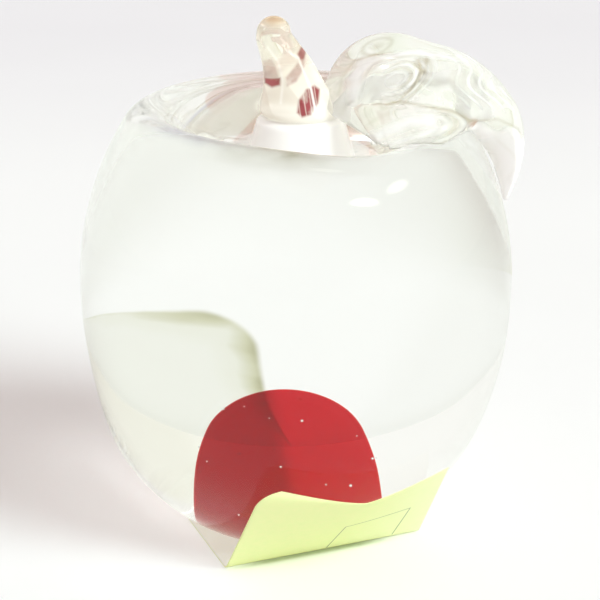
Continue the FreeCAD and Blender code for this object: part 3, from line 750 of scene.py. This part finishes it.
# Stations of the leaf from root to tip, as shares: place along it, across, up, down, back, near
# half, far half, fall, lift, upper thickness and lower thickness.
LEAF_SHARES = [
    (0.00, 0.00, 0.00, 0.00, 0.04, 0.20, 0.16, 0.10, 0.20, 0.70, 0.90),
    (0.06, 0.105, 0.50, 0.00, 0.08, 0.56, 0.26, 0.86, 0.70, 1.00, 1.10),
    (0.13, 0.208, 0.84, 0.00, 0.12, 0.62, 0.32, 1.08, 0.95, 1.05, 1.05),
    (0.24, 0.362, 0.98, 0.00, 0.17, 0.66, 0.36, 1.12, 1.00, 1.00, 1.00),
    (0.35, 0.529, 0.94, 0.00, 0.25, 0.70, 0.36, 1.05, 0.65, 1.00, 1.00),
    (0.47, 0.696, 0.76, 0.00, 0.40, 0.66, 0.34, 0.92, 0.40, 1.00, 1.10),
    (0.59, 0.851, 0.20, 0.00, 0.60, 0.48, 0.32, 0.45, 0.20, 0.92, 2.40),
    (0.70, 0.967, 0.00, 0.19, 0.78, 0.36, 0.29, 0.12, 0.10, 0.86, 3.30),
    (0.81, 1.000, 0.00, 0.48, 0.94, 0.26, 0.24, 0.06, 0.06, 0.80, 2.40),
    (0.91, 0.982, 0.00, 0.76, 1.00, 0.14, 0.13, 0.00, 0.00, 0.62, 1.10),
    (1.00, 0.963, 0.00, 1.00, 1.00, 0.02, 0.02, 0.00, 0.00, 0.18, 0.18),
]
# The folds that the leaf was tooled with stand on a plane that leans back by this angle: places on
# it are across and up, in metres. An oval is its middle, its tilt in degrees and its stretch.
FOLD_PLANE = math.radians(19.2)
CURL = ((0.0169, 0.0749), 31, 1.9)
NEAR_LOBE = ((0.0204, 0.0664), 8, 2.6)
HOOK_EYE = ((0.0141, 0.0816), 22, 2.3)
HOOK_SPOT = (0.0090, 0.0800)
CURL_LINE = [(0.0214, 0.0781), (0.0212, 0.0764), (0.0204, 0.0748), (0.0193, 0.0731), (0.0174, 0.0715),
             (0.0152, 0.0708)]
LOBE_LINE = [(0.0129, 0.0707), (0.0173, 0.0712), (0.0219, 0.0703), (0.0270, 0.0692), (0.0310, 0.0674)]
HOOK_LINE = [(0.0072, 0.0720), (0.0078, 0.0760), (0.0100, 0.0790), (0.0135, 0.0800), (0.0168, 0.0806)]
# Painted lines, dark for shade and white for highlights along the folds: strength, width, how far
# beside the line, places.
SHADE_LINES = [
    (0.85, 0.00022, 0.0, CURL_LINE), (0.40, 0.00020, 0.0010, CURL_LINE), (0.45, 0.00022, 0.0, HOOK_LINE),
    (0.60, 0.00026, 0.0, LOBE_LINE),
    (0.55, 0.00030, 0.0, [(0.0298, 0.0676), (0.0345, 0.0684), (0.0385, 0.0670), (0.0398, 0.0640)]),
]
HIGHLIGHT_LINES = [
    (0.85, 0.0008, 0.0, [(0.0098, 0.0628), (0.0120, 0.0642), (0.0150, 0.0655), (0.0190, 0.0672),
                         (0.0225, 0.0676)]),
    (0.60, 0.0004, 0.0, [(0.0104, 0.0614), (0.0130, 0.0624), (0.0160, 0.0634), (0.0215, 0.0652),
                         (0.0250, 0.0664)]),
    (0.85, 0.0010, 0.0, [(0.0128, 0.0806), (0.0112, 0.0778), (0.0103, 0.0748), (0.0096, 0.0716)]),
    (0.80, 0.0006, 0.0, [(0.0090, 0.0752), (0.0130, 0.0785), (0.0165, 0.0797), (0.0215, 0.0803),
                         (0.0290, 0.0790)]),
]
# Painted dark glints on the curl: places across and up.
GLINTS = [(0.0212, 0.0783), (0.0226, 0.0787), (0.0218, 0.0768)]
# Brown specks: middle (x, y, z), half height and half width.
PINCHES = [((0.0298, -0.0070, 0.0739), 0.0012, 0.0016), ((0.0385, -0.0010, 0.0735), 0.0020, 0.0012)]


def oval_reach(across, up, oval):
    """Distance from the middle of an oval, with the part along its tilted long axis divided by the
    stretch, so that equal values are nested ovals."""
    centre, tilt, stretch = oval
    turn = math.radians(tilt)
    x, y = across - centre[0], up - centre[1]
    return np.hypot((x * math.cos(turn) + y * math.sin(turn)) / stretch,
                    y * math.cos(turn) - x * math.sin(turn))


def leaf_folds(across, up):
    """Height of the tooled folds over a plain leaf, in metres: rings round the rolled curl, long oval
    rings round the near lobe, the hook's hollow, creases between the lobes and pleats on the blade."""
    curl = oval_reach(across, up, CURL)
    rings = 0.00007 * np.cos(TURN * curl / 0.0021 + 0.6) * bell(curl, 0.0034)
    rings = rings * smooth(-0.0040, 0.0010, across - CURL[0][0]) * smooth(0.0002, 0.0013, curl)
    oval = oval_reach(across, up, NEAR_LOBE)
    swirl = 0.00005 * np.cos(TURN * oval / 0.0026) * bell(oval, 0.0034)
    swirl = swirl * smooth(0.0, 0.0045, across - NEAR_LOBE[0][0]) * smooth(0.0002, 0.0014, oval)
    hook = 0.00020 * bell(oval_reach(across, up, HOOK_EYE), 0.0009)
    hook = hook + 0.00025 * bell(line_distance(across, up, HOOK_LINE), 0.0008)
    crease = 0.00045 * bell(line_distance(across, up, CURL_LINE), 0.0011)
    crease = crease + 0.00045 * bell(line_distance(across, up, LOBE_LINE), 0.0011)
    blade = smooth(0.024, 0.029, across) * smooth(0.0688, 0.0718, up)
    pleats = 0.00006 * np.cos(TURN * (across - 0.3 * up) / 0.0060)
    return rings + swirl - hook - crease + blade * pleats


def drawn_lines(across, up, lines):
    """Sum of soft lines: the bell curve of the distance to each over its width."""
    return sum(strength * bell(line_distance(across, up, line) - beside, width)
               for strength, width, beside, line in lines)


def leaf_shade_and_highlights(across, up):
    """How strongly the painted dark lines of shade and the painted white highlights show, and how white
    the hanging tip is. Dark: nested arcs round the ends of the rolled curl and the near lobe, the double
    line beside the curl, the eye of the hook near the stem, and the brown lines that end the blade.
    White: bands between the arcs, the hook's band, streaks along the near lobe and the top of the blade."""
    curl = oval_reach(across, up, CURL)
    near_curl = smooth(-0.0035, 0.0015, across - CURL[0][0]) * bell(curl - 0.0022, 0.0019)
    near_curl = near_curl * smooth(0.0005, 0.0015, curl)
    phase = np.mod(curl / 0.00105, 1.0)
    oval = oval_reach(across, up, NEAR_LOBE)
    right = smooth(0.0010, 0.0055, across - NEAR_LOBE[0][0])
    eye = oval_reach(across, up, HOOK_EYE)
    blade = smooth(0.0250, 0.0300, across) * smooth(0.0690, 0.0720, up)
    swing = across + 0.45 * up + 0.0012 * np.sin(TURN * up / 0.008)
    pleats = np.cos(TURN * swing / 0.0021)
    wavy = up + 0.10 * (across - 0.034) + 0.0005 * np.sin(TURN * across / 0.0055)
    tip = smooth(0.0285, 0.0300, across) * (1 - smooth(0.0655, 0.0676, wavy))
    dark = drawn_lines(across, up, SHADE_LINES) + 0.55 * bell(phase - 0.5, 0.15) * near_curl
    dark = dark + (0.20 + 0.25 * right) * bell(oval - 0.0035, 0.00020)
    dark = dark + right * (0.40 * bell(oval - 0.0026, 0.0005) + 0.25 * bell(oval - 0.0016, 0.00025))
    dark = dark + 0.50 * bell(eye - 0.0012, 0.00024) + 0.60 * bell(eye, 0.00065)
    dark = dark + 0.55 * bell(np.hypot(across - HOOK_SPOT[0], (up - HOOK_SPOT[1]) * 0.8), 0.0006)
    dark = dark + 0.95 * sum(bell(np.hypot(across - x, (up - y) * 0.6), 0.00042) for x, y in GLINTS)
    dark = dark + 0.14 * blade * np.clip(pleats, 0, 1) ** 3
    white = drawn_lines(across, up, HIGHLIGHT_LINES) + 0.65 * bell(np.minimum(phase, 1 - phase), 0.20) * near_curl
    white = white + 0.5 * right * (bell(oval - 0.0031, 0.0003) + bell(oval - 0.0020, 0.0003))
    white = white + 0.5 * blade * np.clip(-pleats, 0, 1) ** 2
    tip_lines = 0.09 * tip * np.clip(np.cos(TURN * swing / 0.0031), 0, 1) ** 2
    return np.clip(dark, 0, 1) * (1 - 0.7 * tip) + tip_lines, np.clip(white, 0, 1), tip


class GLASSAPPLE_OT_leaf(bpy.types.Operator):
    """Make the tooled glass leaf"""

    bl_idname = "glassapple.leaf"
    bl_label = "Leaf"

    def execute(self, context):
        sizes, shades = context.scene.glass_apple_sizes, context.scene.glass_apple_colours
        along = np.linspace(0, 1, 300)
        across, up, down, back, near, far, fall, lift, upper, lower = through(LEAF_SHARES, along).T
        line = np.stack([sizes.leaf_root_reach + across * sizes.leaf_span,
                         back * sizes.leaf_set_back,
                         sizes.leaf_root_height + up * sizes.leaf_rise - down * sizes.leaf_drop], axis=-1)
        run = np.gradient(line, axis=0)
        run[:, 1] = 0
        run /= np.linalg.norm(run, axis=1)[:, None]
        outward = np.stack([-run[:, 2], 0 * along, run[:, 0]], axis=-1)
        # each section is a rounded lens: its halves differ, it bows down on the near side and up on
        # the far side, and it is thicker below than above where it hangs
        turn = np.linspace(0, TURN, 240, endpoint=False)
        side = np.sign(np.cos(turn)) * np.abs(np.cos(turn)) ** 0.9
        cap = np.sign(np.sin(turn)) * np.abs(np.sin(turn)) ** 0.8
        half = np.where(side < 0, near[:, None], far[:, None]) * sizes.leaf_width
        bow = np.where(side < 0, -(fall * sizes.leaf_fall)[:, None] * side ** 2,
                       (lift * sizes.leaf_lift)[:, None] * side ** 2)
        body = 0.5 * sizes.leaf_thickness * np.where(cap > 0, upper[:, None], lower[:, None]) * cap
        points = line[:, None, :] + outward[:, None, :] * (bow + body)[..., None]
        points[..., 1] += side * half
        # the folds are pressed into the faces that look up and forward, square to the surface
        along_way = np.gradient(points, axis=0)
        round_way = (np.roll(points, -1, axis=1) - np.roll(points, 1, axis=1)) / 2
        facing = np.cross(along_way, round_way)
        facing /= np.linalg.norm(facing, axis=-1)[..., None] + 1e-12
        if np.sum(facing * (points - points.mean(axis=1)[:, None, :])) < 0:
            facing = -facing
        lean_up = points[..., 2] * math.cos(FOLD_PLANE) + points[..., 1] * math.sin(FOLD_PLANE)
        toward = facing[..., 2] * math.sin(FOLD_PLANE) - facing[..., 1] * math.cos(FOLD_PLANE)
        ends = (smooth(0.0, 0.06, along) * (1 - smooth(0.90, 1.0, along)))[:, None]
        pressed = smooth(-0.05, 0.35, toward) * ends
        folds = leaf_folds(points[..., 0], lean_up) * pressed
        ribs = 0.00006 * np.cos(TURN * (along[:, None] * 11 - np.abs(side) * 1.3))
        ribs = ribs * (1 - smooth(-0.3, 0.2, toward)) * ends
        marks = np.stack(leaf_shade_and_highlights(points[..., 0], lean_up), axis=-1)
        marks[..., :2] *= pressed[..., None]
        points = points + facing * (folds + ribs)[..., None]
        mesh = round_mesh("tooled_leaf", points, points[0].mean(0), points[-1].mean(0))
        marks = np.concatenate([marks.reshape(-1, 3), marks[0].mean(0)[None], marks[-1].mean(0)[None]])
        write_marks(mesh, "leaf_shade_highlight_tip", marks)
        make_object("tooled_leaf", mesh, [self.material(shades)], "leaf")
        return {"FINISHED"}

    def material(self, shades):
        """Tooled clear glass with painted dark lines of shade and painted white highlights along its folds, a
        faint painted glow that is strongest at the white tip, and brown specks where it was pinched.
        """
        t = Shading(bpy.data.materials.new("leaf_glass"))
        dark, white, tip = t.marks("leaf_shade_highlight_tip")
        clouds = t.noise(130.0, 1.0)
        tint = t.ramp(clouds, (0.40, tuple(shades.leaf_tint)), (0.62, tuple(shades.leaf_green)))
        # painted highlights in white, and painted shade in dark lines along the folds
        tint = t.mix(white, tint, shades.leaf_highlight)
        tint = t.mix(tip, tint, shades.leaf_tip)
        tint = t.mix(dark, tint, shades.leaf_shade_line)
        streaks = t.span(t.noise(700.0, 3.0), 0.40, 0.60)
        tint = t.mix(t.times(self.pinches(t), streaks), tint, shades.leaf_brown)
        clear = t.span(t.most(white, tip), 0.0, 1.0, 0.78, 0.22)
        # painted light: the whole leaf glows faintly, the white tip more
        return t.show(t.add("BsdfPrincipled", {
            "Base Color": tint, "Transmission Weight": clear, "IOR": 1.25, "Roughness": 0.01,
            "Emission Color": t.mix(tip, shades.leaf_glow, shades.leaf_tip), "Emission Strength": 0.13,
            "Normal": t.waves(110.0, 0.00002, 600.0, 0.000003)}))

    def pinches(self, t):
        """1 at the middle of each speck and 0 from its edge on: the reach is the length of the offset
        with its height divided by the half height and the rest by the half width."""
        mask = 0.0
        for middle, tall, wide in PINCHES:
            offset = t.vector("SUBTRACT", t.place, middle)
            reach = t.vector("LENGTH", t.vector("MULTIPLY", offset, (1 / wide, 1 / wide, 1 / tall)))
            mask = t.most(mask, t.fade(reach, 0.55, 1.0, 1.0, 0.0))
        return mask


# ---------------------------------------------------------------- the label

# The flap's lean from upright in degrees, and half the length that its fold bends over.
LABEL_LEAN = 47.6
LABEL_BEND = 0.0012
# How far the flap's corners stand up from its lean, in degrees, and how much each side narrows per
# length of the flap: left, right.
CORNER_LIFT = (12.2, 9.4)
SIDE_TAPER = (0.035, 0.075)
# The printed frame on the face: middle, half width and height.
PRINT_MIDDLE, PRINT_HALF, PRINT_HEIGHT = 0.0066, 0.0064, 0.0115


class GLASSAPPLE_OT_label(bpy.types.Operator):
    """Make the folded paper label"""

    bl_idname = "glassapple.label"
    bl_label = "Paper Label"

    def execute(self, context):
        sizes, shades = context.scene.glass_apple_sizes, context.scene.glass_apple_colours
        across = np.linspace(-1, 1, 97)
        flat = sizes.label_fold + sizes.label_back
        total = flat + sizes.label_flap
        run = np.concatenate([np.linspace(0, flat - 0.003, 24), np.linspace(flat - 0.003, total, 70)[1:]])
        past = (run - flat)[:, None]
        # the paper turns up about its fold, most where the belly pushes it out, less at its corners
        lean = np.radians(LABEL_LEAN - np.where(across < 0, *CORNER_LIFT) * np.abs(across) ** 1.35)
        tilt = (QUARTER - lean[None, :]) * smooth(-LABEL_BEND, LABEL_BEND, past)
        middle = (tilt[1:] + tilt[:-1]) / 2
        steps = np.diff(run)[:, None]
        start = np.zeros((1, len(across)))
        out = np.concatenate([start, np.cumsum(steps * np.cos(middle), axis=0)])
        up = np.concatenate([start, np.cumsum(steps * np.sin(middle), axis=0)])
        # a rounded corner: the flap's last rows are drawn in at its left end
        left = np.clip(past - (sizes.label_flap - sizes.label_corner), 0, None) / sizes.label_corner
        tuck = sizes.label_corner * (1 - np.sqrt(np.clip(1 - left ** 2, 0, 1)))
        taper = np.where(across < 0, *SIDE_TAPER) * np.clip(past, 0, None)
        half = sizes.label_width / 2 - tuck * (across < 0) - taper
        # the flat part runs a little askew under the apple
        askew = math.tan(sizes.label_skew) * np.clip(-past, 0, None)
        side = across * half + sizes.label_shift + askew
        away = out - sizes.label_back
        facing = np.array([math.cos(sizes.label_turn), math.sin(sizes.label_turn)])
        points = np.stack([away * facing[0] - side * facing[1], away * facing[1] + side * facing[0], up],
                          axis=-1)
        under = np.stack([np.sin(tilt) * facing[0], np.sin(tilt) * facing[1], -np.cos(tilt)], axis=-1)
        spots = np.concatenate([points, points - under * sizes.label_thickness]).reshape(-1, 3)
        quads, faces = self.sheet(*points.shape[:2])
        mesh = filled_mesh("paper_sticker", spots, quads, np.zeros((0, 3), int))
        index = np.zeros(len(quads), np.int32)
        index[faces:2 * faces] = 1
        mesh.polygons.foreach_set("material_index", index)
        # the paper's own places: across, and up from the fold
        grid = np.stack([across[None, :] * half, past + 0 * across * half], axis=-1).reshape(-1, 2)
        loops = np.zeros(len(mesh.loops), np.int32)
        mesh.loops.foreach_get("vertex_index", loops)
        grid = np.concatenate([grid, grid])[loops]
        mesh.uv_layers.new(name="paper").data.foreach_set("uv", grid.astype(np.float32).ravel())
        materials = [self.paper("label_front", shades.label_front, shades),
                     self.paper("label_adhesive", shades.label_back)]
        make_object("paper_sticker", mesh, materials, "paper_label")
        return {"FINISHED"}

    def sheet(self, rows, places):
        """Faces of a thin closed sheet: its front grid, its back grid turned over, and four edges.
        Gives them with the number of faces on one side."""
        front = np.arange(rows * places).reshape(rows, places)
        back = front + rows * places

        def faces(grid):
            corners = [grid[:-1, :-1], grid[:-1, 1:], grid[1:, 1:], grid[1:, :-1]]
            return np.stack(corners, axis=-1).reshape(-1, 4)

        def strip(a, b):
            return np.stack([a[:-1], a[1:], b[1:], b[:-1]], axis=-1)

        edges = [(back[0], front[0]), (front[-1], back[-1]), (front[:, 0], back[:, 0]),
                 (back[:, -1], front[:, -1])]
        quads = np.concatenate([faces(front), faces(back)[:, ::-1], *[strip(a, b) for a, b in edges]])
        return quads, (rows - 1) * (places - 1)

    def paper(self, name, shade, printed=None):
        """Matt paper: faint fibres, light through the sheet, and on its face a paler right end and a
        thin printed frame."""
        t = Shading(bpy.data.materials.new(name))
        fibres = t.noise(900.0, 4.0)
        tone = t.ramp(fibres, (0.3, tuple(0.965 * c for c in shade)), (0.7, tuple(shade)))
        if printed is not None:
            across, up, _ = t.split(t.add("UVMap", uv_map="paper").outputs[0])
            tone = t.mix(t.span(across, 0.002, 0.018, 0.0, 0.40), tone, printed.label_pale)
            past_side = t.minus(t.maths("ABSOLUTE", t.minus(across, PRINT_MIDDLE)), PRINT_HALF)
            frame_at = t.maths("ABSOLUTE", t.most(past_side, t.minus(up, PRINT_HEIGHT)))
            line = t.span(frame_at, 0.00006, 0.00014, 0.75, 0.0)
            line = t.times(line, t.maths("GREATER_THAN", up, 0.001))
            tone = t.mix(line, tone, printed.label_ink)
        bump = t.add("Bump", {"Height": fibres, "Strength": 0.4, "Distance": 0.00002}).outputs[0]
        matt = t.add("BsdfPrincipled", {"Base Color": tone, "Roughness": 0.75, "Normal": bump,
                                        "Specular IOR Level": 0.25})
        through_light = t.add("BsdfTranslucent", {"Color": tone, "Normal": bump})
        sheet = t.add("MixShader", {"Fac": 0.25, 1: matt.outputs[0], 2: through_light.outputs[0]})
        # fluorescent stock gives back more light than plain paper
        # the white adhesive side is not fluorescent, and its same glow is painted light
        glow = t.add("Emission", {"Color": tone, "Strength": 0.09})
        return t.show(t.add("AddShader", {0: sheet.outputs[0], 1: glow.outputs[0]}))


# ---------------------------------------------------------------- stage

# Soft patches of the studio: where each stands (azimuth, elevation), how far it reaches sideways
# and upwards from there, its tilt, how soft its edge is as a share, and what it adds to the light.
# The first table lights matt surfaces, the second is what glass shows, and the third is where the
# glass shows a yellower light.
LIT_PATCHES = [
    ("key", 56, 38, 20, 20, 0, 0.7, 15.2),
]
SHOWN_PATCHES = [
    ("key_low", 51.8, 35.9, 9.2, 1.7, -11, 0.5, 5.0),
    ("key_high", 76, 34, 8.0, 1.6, -12, 0.5, 4.0),
    ("window_top", 60, 66, 10, 8, 0, 0.5, 1.5),
    ("camera_side", 0, 8, 44, 44, 0, 0.6, -0.20),
    ("far_side", 128, 10, 44, 28, 0, 0.35, -0.060),
    ("low_left", 147, 3, 20, 14, 0, 0.6, -0.022),
    ("ceiling", 0, 90, 50, 50, 0, 0.6, -0.06),
    ("horizon", 180, 5, 70, 14, 0, 0.7, 0.012),
]
CLOTH_PATCHES = [("cloth_high", 128, 8, 46, 30, 0, 0.3, 1.0)]
LIT_LEVEL, SHOWN_LEVEL, GATHERED_LEVEL, BACKDROP_LEVEL = 0.60, 0.965, 1.70, 0.87
# Light thrown on the table: middle (x, y), turn, half length and half width, strength.
THROWN_LIGHT = [
    ((-0.0250, 0.0020), -62, (0.020, 0.0045), 0.16),
    ((-0.0300, -0.0090), -50, (0.030, 0.0150), 0.10),
    ((-0.0370, 0.0240), -50, (0.016, 0.0100), 0.09),
]
# The table's own faint glow, and the reach and the strength of the light under the glass.
TABLE_GLOW = 0.08
UNDER_GLASS, UNDER_GLOW = 0.036, 0.30
# The painted reflection of a cloth far behind, which only glass shows: its rounded corner (x, y), the
# round, and its colours from the border inwards.
CLOTH_CORNER, CLOTH_ROUND = (0.009, 0.132), 0.015
CLOTH_TONES = [(0.0, (0.40, 0.39, 0.20)), (0.20, (0.66, 0.66, 0.48)), (0.48, (0.86, 0.865, 0.78)),
               (1.0, (0.90, 0.905, 0.85))]
CAMERA_AT, CAMERA_DOWN = (0.0, -0.43064, 0.18796), math.radians(19.2)
CAMERA_LENS, CAMERA_SHIFT = 154.3, (0.0068, 0.0148)
BOUNCES = 128


class GLASSAPPLE_OT_stage(bpy.types.Operator):
    """Make the floor, the studio light and the camera"""

    bl_idname = "glassapple.stage"
    bl_label = "Stage"

    def execute(self, context):
        scene = context.scene
        sizes, shades = scene.glass_apple_sizes, scene.glass_apple_colours
        rings = ring(np.array([0.2, 0.8, 3.0, 8.0])[:, None], 0.0, np.linspace(0, TURN, 96, endpoint=False))
        # the table faces up, so the rings' quads are turned over, and one fan closes the middle
        count, places = rings.shape[:2]
        quads, fans = round_faces(count, places)
        mesh = filled_mesh("table", np.concatenate([rings.reshape(-1, 3), [(0, 0, 0)]]),
                           quads[:, [0, 3, 2, 1]], fans[:places, [0, 2, 1]])
        mesh.materials.append(self.floor(sizes, shades))
        table = bpy.data.objects.new("table", mesh)
        scene.collection.objects.link(table)
        self.studio(scene, shades)
        self.camera(scene)
        # thick glass turns light many times inside before it lets it out
        cycles = scene.cycles
        cycles.max_bounces = cycles.transmission_bounces = BOUNCES
        cycles.glossy_bounces = cycles.transparent_max_bounces = BOUNCES
        scene.view_settings.view_transform = "Standard"
        return {"FINISHED"}

    def floor(self, sizes, shades):
        """Pale table that keeps the shadow, with painted shade that greys it further back. Glass shows it a
        little greener, darker near the apple and to its left in painted shade, with the painted reflection
        of a cloth far behind on it."""
        t = Shading(bpy.data.materials.new("pale_table"))
        x, y, _ = t.split(t.place)
        rays = t.add("LightPath").outputs
        shown = t.most(rays["Is Glossy Ray"], rays["Is Transmission Ray"])
        # painted shade: the table greys further back
        tone = t.mix(t.fade(y, 0.16, 0.40), shades.floor, shades.floor_far)
        tone = t.mix(1.0, tone, t.ramp(t.noise(12.0), (0.3, 0.985), (0.7, 1.0)), "MULTIPLY")
        # painted shade that only glass shows: darker near the apple, to its left where its shadow falls, and
        # far back
        shown_painted_shade = t.times(t.fade(y, 0.085, 0.122, 0.89), t.fade(x, -0.055, -0.018, 0.96),
                        t.span(y, 0.22, 0.70, 1.0, 0.955))
        shown_painted_shade = t.add("CombineColor", {0: shown_painted_shade, 1: shown_painted_shade, 2: t.maths("POWER", shown_painted_shade, 1.25)}).outputs[0]
        tone = t.mix(shown, tone, t.mix(1.0, shades.floor_shown, shown_painted_shade, "MULTIPLY"))
        # painted reflection of a cloth far behind, which only glass rays see
        inside, cloth = self.cloth(t, x, y)
        tone = t.mix(t.times(inside, shown), tone, cloth, "MULTIPLY")
        tone = t.mix(self.fold_shade(t, sizes), tone, shades.label_shade)
        seen = t.most(rays["Is Camera Ray"], shown)
        matt = t.add("BsdfDiffuse", {"Color": tone})
        glow = t.add("Emission", {"Color": tone, "Strength": t.times(seen, self.thrown(t, shown))})
        return t.show(t.add("AddShader", {0: matt.outputs[0], 1: glow.outputs[0]}))

    def cloth(self, t, x, y):
        """Where the painted reflection of a cloth lies and its colour. It has a rounded corner: the distance
        is the length of what is left of its corner, less the corner's round. It is darker along its border,
        with folds along it, and lighter to the right."""
        corner = t.far(t.most(t.minus(CLOTH_CORNER[0] + CLOTH_ROUND, x), 0.0),
                       t.most(t.minus(CLOTH_CORNER[1] + CLOTH_ROUND, y), 0.0))
        inside = t.fade(t.minus(corner, CLOTH_ROUND), -0.0020, 0.0005, 1.0, 0.0)
        inner = t.maths("MINIMUM", t.minus(x, CLOTH_CORNER[0]), t.minus(y, CLOTH_CORNER[1]))
        inner = t.maths("MINIMUM", inner, 0.05)
        stretched = t.add("Mapping", {"Vector": t.place, "Scale": (22.0, 90.0, 1.0)}).outputs[0]
        folds = t.times(t.minus(t.noise(1.0, 2.0, stretched), 0.5), 0.55)
        depth = t.plus(t.span(inner, -0.001, 0.022), folds, t.span(x, 0.012, 0.065, 0.0, 0.28))
        return inside, t.ramp(depth, *CLOTH_TONES)

    def fold_shade(self, t, sizes):
        """The narrow shade in front of the label's fold: a bell curve ahead of it, with soft ends."""
        facing = (math.cos(sizes.label_turn), math.sin(sizes.label_turn), 0.0)
        beside = (-facing[1], facing[0], 0.0)
        ahead = t.minus(t.vector("DOT_PRODUCT", t.place, facing), sizes.label_fold + 0.0003)
        aside = t.minus(t.vector("DOT_PRODUCT", t.place, beside), sizes.label_shift - 0.002)
        aside = t.maths("ABSOLUTE", aside)
        return t.times(t.bell(t.maths("DIVIDE", ahead, 0.0011)), t.fade(aside, 0.008, 0.017, 0.75, 0.0))

    def thrown(self, t, shown):
        """Light that the thick glass throws on the table: soft ovals in its own shadow, on the left,
        and a round under it that only glass shows, exp(-reach^4)."""
        light = TABLE_GLOW
        for (x, y), turned, (long, short), strength in THROWN_LIGHT:
            spot = t.add("Mapping", {"Vector": t.place, "Location": (x, y, 0.0),
                                     "Rotation": (0, 0, math.radians(turned)),
                                     "Scale": (long, short, 1.0)}, vector_type="TEXTURE").outputs[0]
            light = t.plus(light, t.times(t.bell(t.vector("LENGTH", spot)), strength))
        reach = t.vector("LENGTH", t.vector("MULTIPLY", t.place, (1 / UNDER_GLASS,) * 3))
        return t.plus(light, t.times(t.bell(t.times(reach, reach)), shown, UNDER_GLOW))

    def studio(self, scene, shades):
        """A world of soft light: an even ground with soft patches added to it. Matt surfaces are lit
        by the lit level, glass shows the shown level, and the camera sees the backdrop level."""
        scene.world = bpy.data.worlds.new("studio")
        t = Shading(scene.world, "Generated")

        def light(shade, strength):
            return t.add("Background", {"Color": shade, "Strength": strength}).outputs[0]

        def pick(amount, first, second):
            return t.add("MixShader", {"Fac": amount, 1: first, 2: second}).outputs[0]

        rays = t.add("LightPath").outputs
        key = light(shades.key, self.patches(t, 0.0, LIT_PATCHES))
        lit = t.add("AddShader", {0: light(shades.sky, LIT_LEVEL), 1: key}).outputs[0]
        tint = t.mix(self.patches(t, 0.0, CLOTH_PATCHES), (1.0, 1.0, 0.965), (1.0, 1.0, 0.88))
        shown = light(tint, self.patches(t, SHOWN_LEVEL, SHOWN_PATCHES))
        # thick glass gathers light on to the matt surfaces under it
        gathered = light((1.0, 0.975, 0.94), GATHERED_LEVEL)
        shown = pick(t.maths("GREATER_THAN", rays["Diffuse Depth"], 0.5), shown, gathered)
        every = pick(t.most(rays["Is Glossy Ray"], rays["Is Transmission Ray"]), lit, shown)
        every = pick(rays["Is Camera Ray"], every, light((1.0, 0.99, 0.995), BACKDROP_LEVEL))
        t.add("OutputWorld", {"Surface": every})

    def patches(self, t, level, table):
        """Level of the light by direction: each patch is an oval in the plane square to its own
        direction, where the reach is the length of (sideways / width, upwards / height)."""
        for name, azimuth, elevation, width, height, tilt, soft, strength in table:
            a, e, tip = (math.radians(each) for each in (azimuth, elevation, tilt))
            ahead_way = (math.sin(a) * math.cos(e), -math.cos(a) * math.cos(e), math.sin(e))
            level_way = np.array([math.cos(a), math.sin(a), 0.0])
            up_way = np.array([-math.sin(a) * math.sin(e), math.cos(a) * math.sin(e), math.cos(e)])
            ways = (ahead_way, tuple(math.cos(tip) * level_way + math.sin(tip) * up_way),
                    tuple(math.cos(tip) * up_way - math.sin(tip) * level_way))
            ahead, aside, above = [t.vector("DOT_PRODUCT", t.place, way) for way in ways]
            reach = t.far(t.maths("DIVIDE", aside, math.sin(math.radians(width))),
                          t.maths("DIVIDE", above, math.sin(math.radians(height))))
            patch = t.fade(reach, 1 - soft, 1.0, strength, 0.0, label=name)
            level = t.plus(level, t.times(patch, t.maths("GREATER_THAN", ahead, 0.0)))
        return level

    def camera(self, scene):
        """The photograph's viewing angle: 19 degrees down, from 0.46 m away."""
        data = bpy.data.cameras.new("camera")
        data.sensor_width, data.lens = 36.0, CAMERA_LENS
        data.shift_x, data.shift_y = CAMERA_SHIFT
        data.clip_start, data.clip_end = 0.01, 50.0
        camera = bpy.data.objects.new("camera", data)
        scene.collection.objects.link(camera)
        camera.location = CAMERA_AT
        camera.rotation_euler = (QUARTER - CAMERA_DOWN, 0.0, 0.0)
        scene.camera = camera


OPERATORS = (GLASSAPPLE_OT_body, GLASSAPPLE_OT_core, GLASSAPPLE_OT_stem, GLASSAPPLE_OT_leaf,
             GLASSAPPLE_OT_label, GLASSAPPLE_OT_stage)


class GLASSAPPLE_PT_panel(bpy.types.Panel):
    """Sizes, colours and makers of the glass apple"""

    bl_idname = "GLASSAPPLE_PT_panel"
    bl_label = "Glass Apple"
    bl_space_type = "VIEW_3D"
    bl_region_type = "UI"
    bl_category = "Glass Apple"

    def draw(self, context):
        for group in (context.scene.glass_apple_sizes, context.scene.glass_apple_colours):
            box = self.layout.box()
            for name in group.__annotations__:
                box.prop(group, name)
        for operator in OPERATORS:
            self.layout.operator(operator.bl_idname)


CLASSES = (GlassAppleSizes, GlassAppleColours, *OPERATORS, GLASSAPPLE_PT_panel)


def register():
    """Adds the classes and the two groups of properties."""
    for each in CLASSES:
        bpy.utils.register_class(each)
    bpy.types.Scene.glass_apple_sizes = bpy.props.PointerProperty(type=GlassAppleSizes)
    bpy.types.Scene.glass_apple_colours = bpy.props.PointerProperty(type=GlassAppleColours)


def unregister():
    """Takes them away again."""
    del bpy.types.Scene.glass_apple_colours
    del bpy.types.Scene.glass_apple_sizes
    for each in reversed(CLASSES):
        bpy.utils.unregister_class(each)


def main():
    """Makes every piece and the stage."""
    register()
    bpy.ops.glassapple.body()
    bpy.ops.glassapple.core()
    bpy.ops.glassapple.stem()
    bpy.ops.glassapple.leaf()
    bpy.ops.glassapple.label()
    bpy.ops.glassapple.stage()


if __name__ == "__main__":
    main()
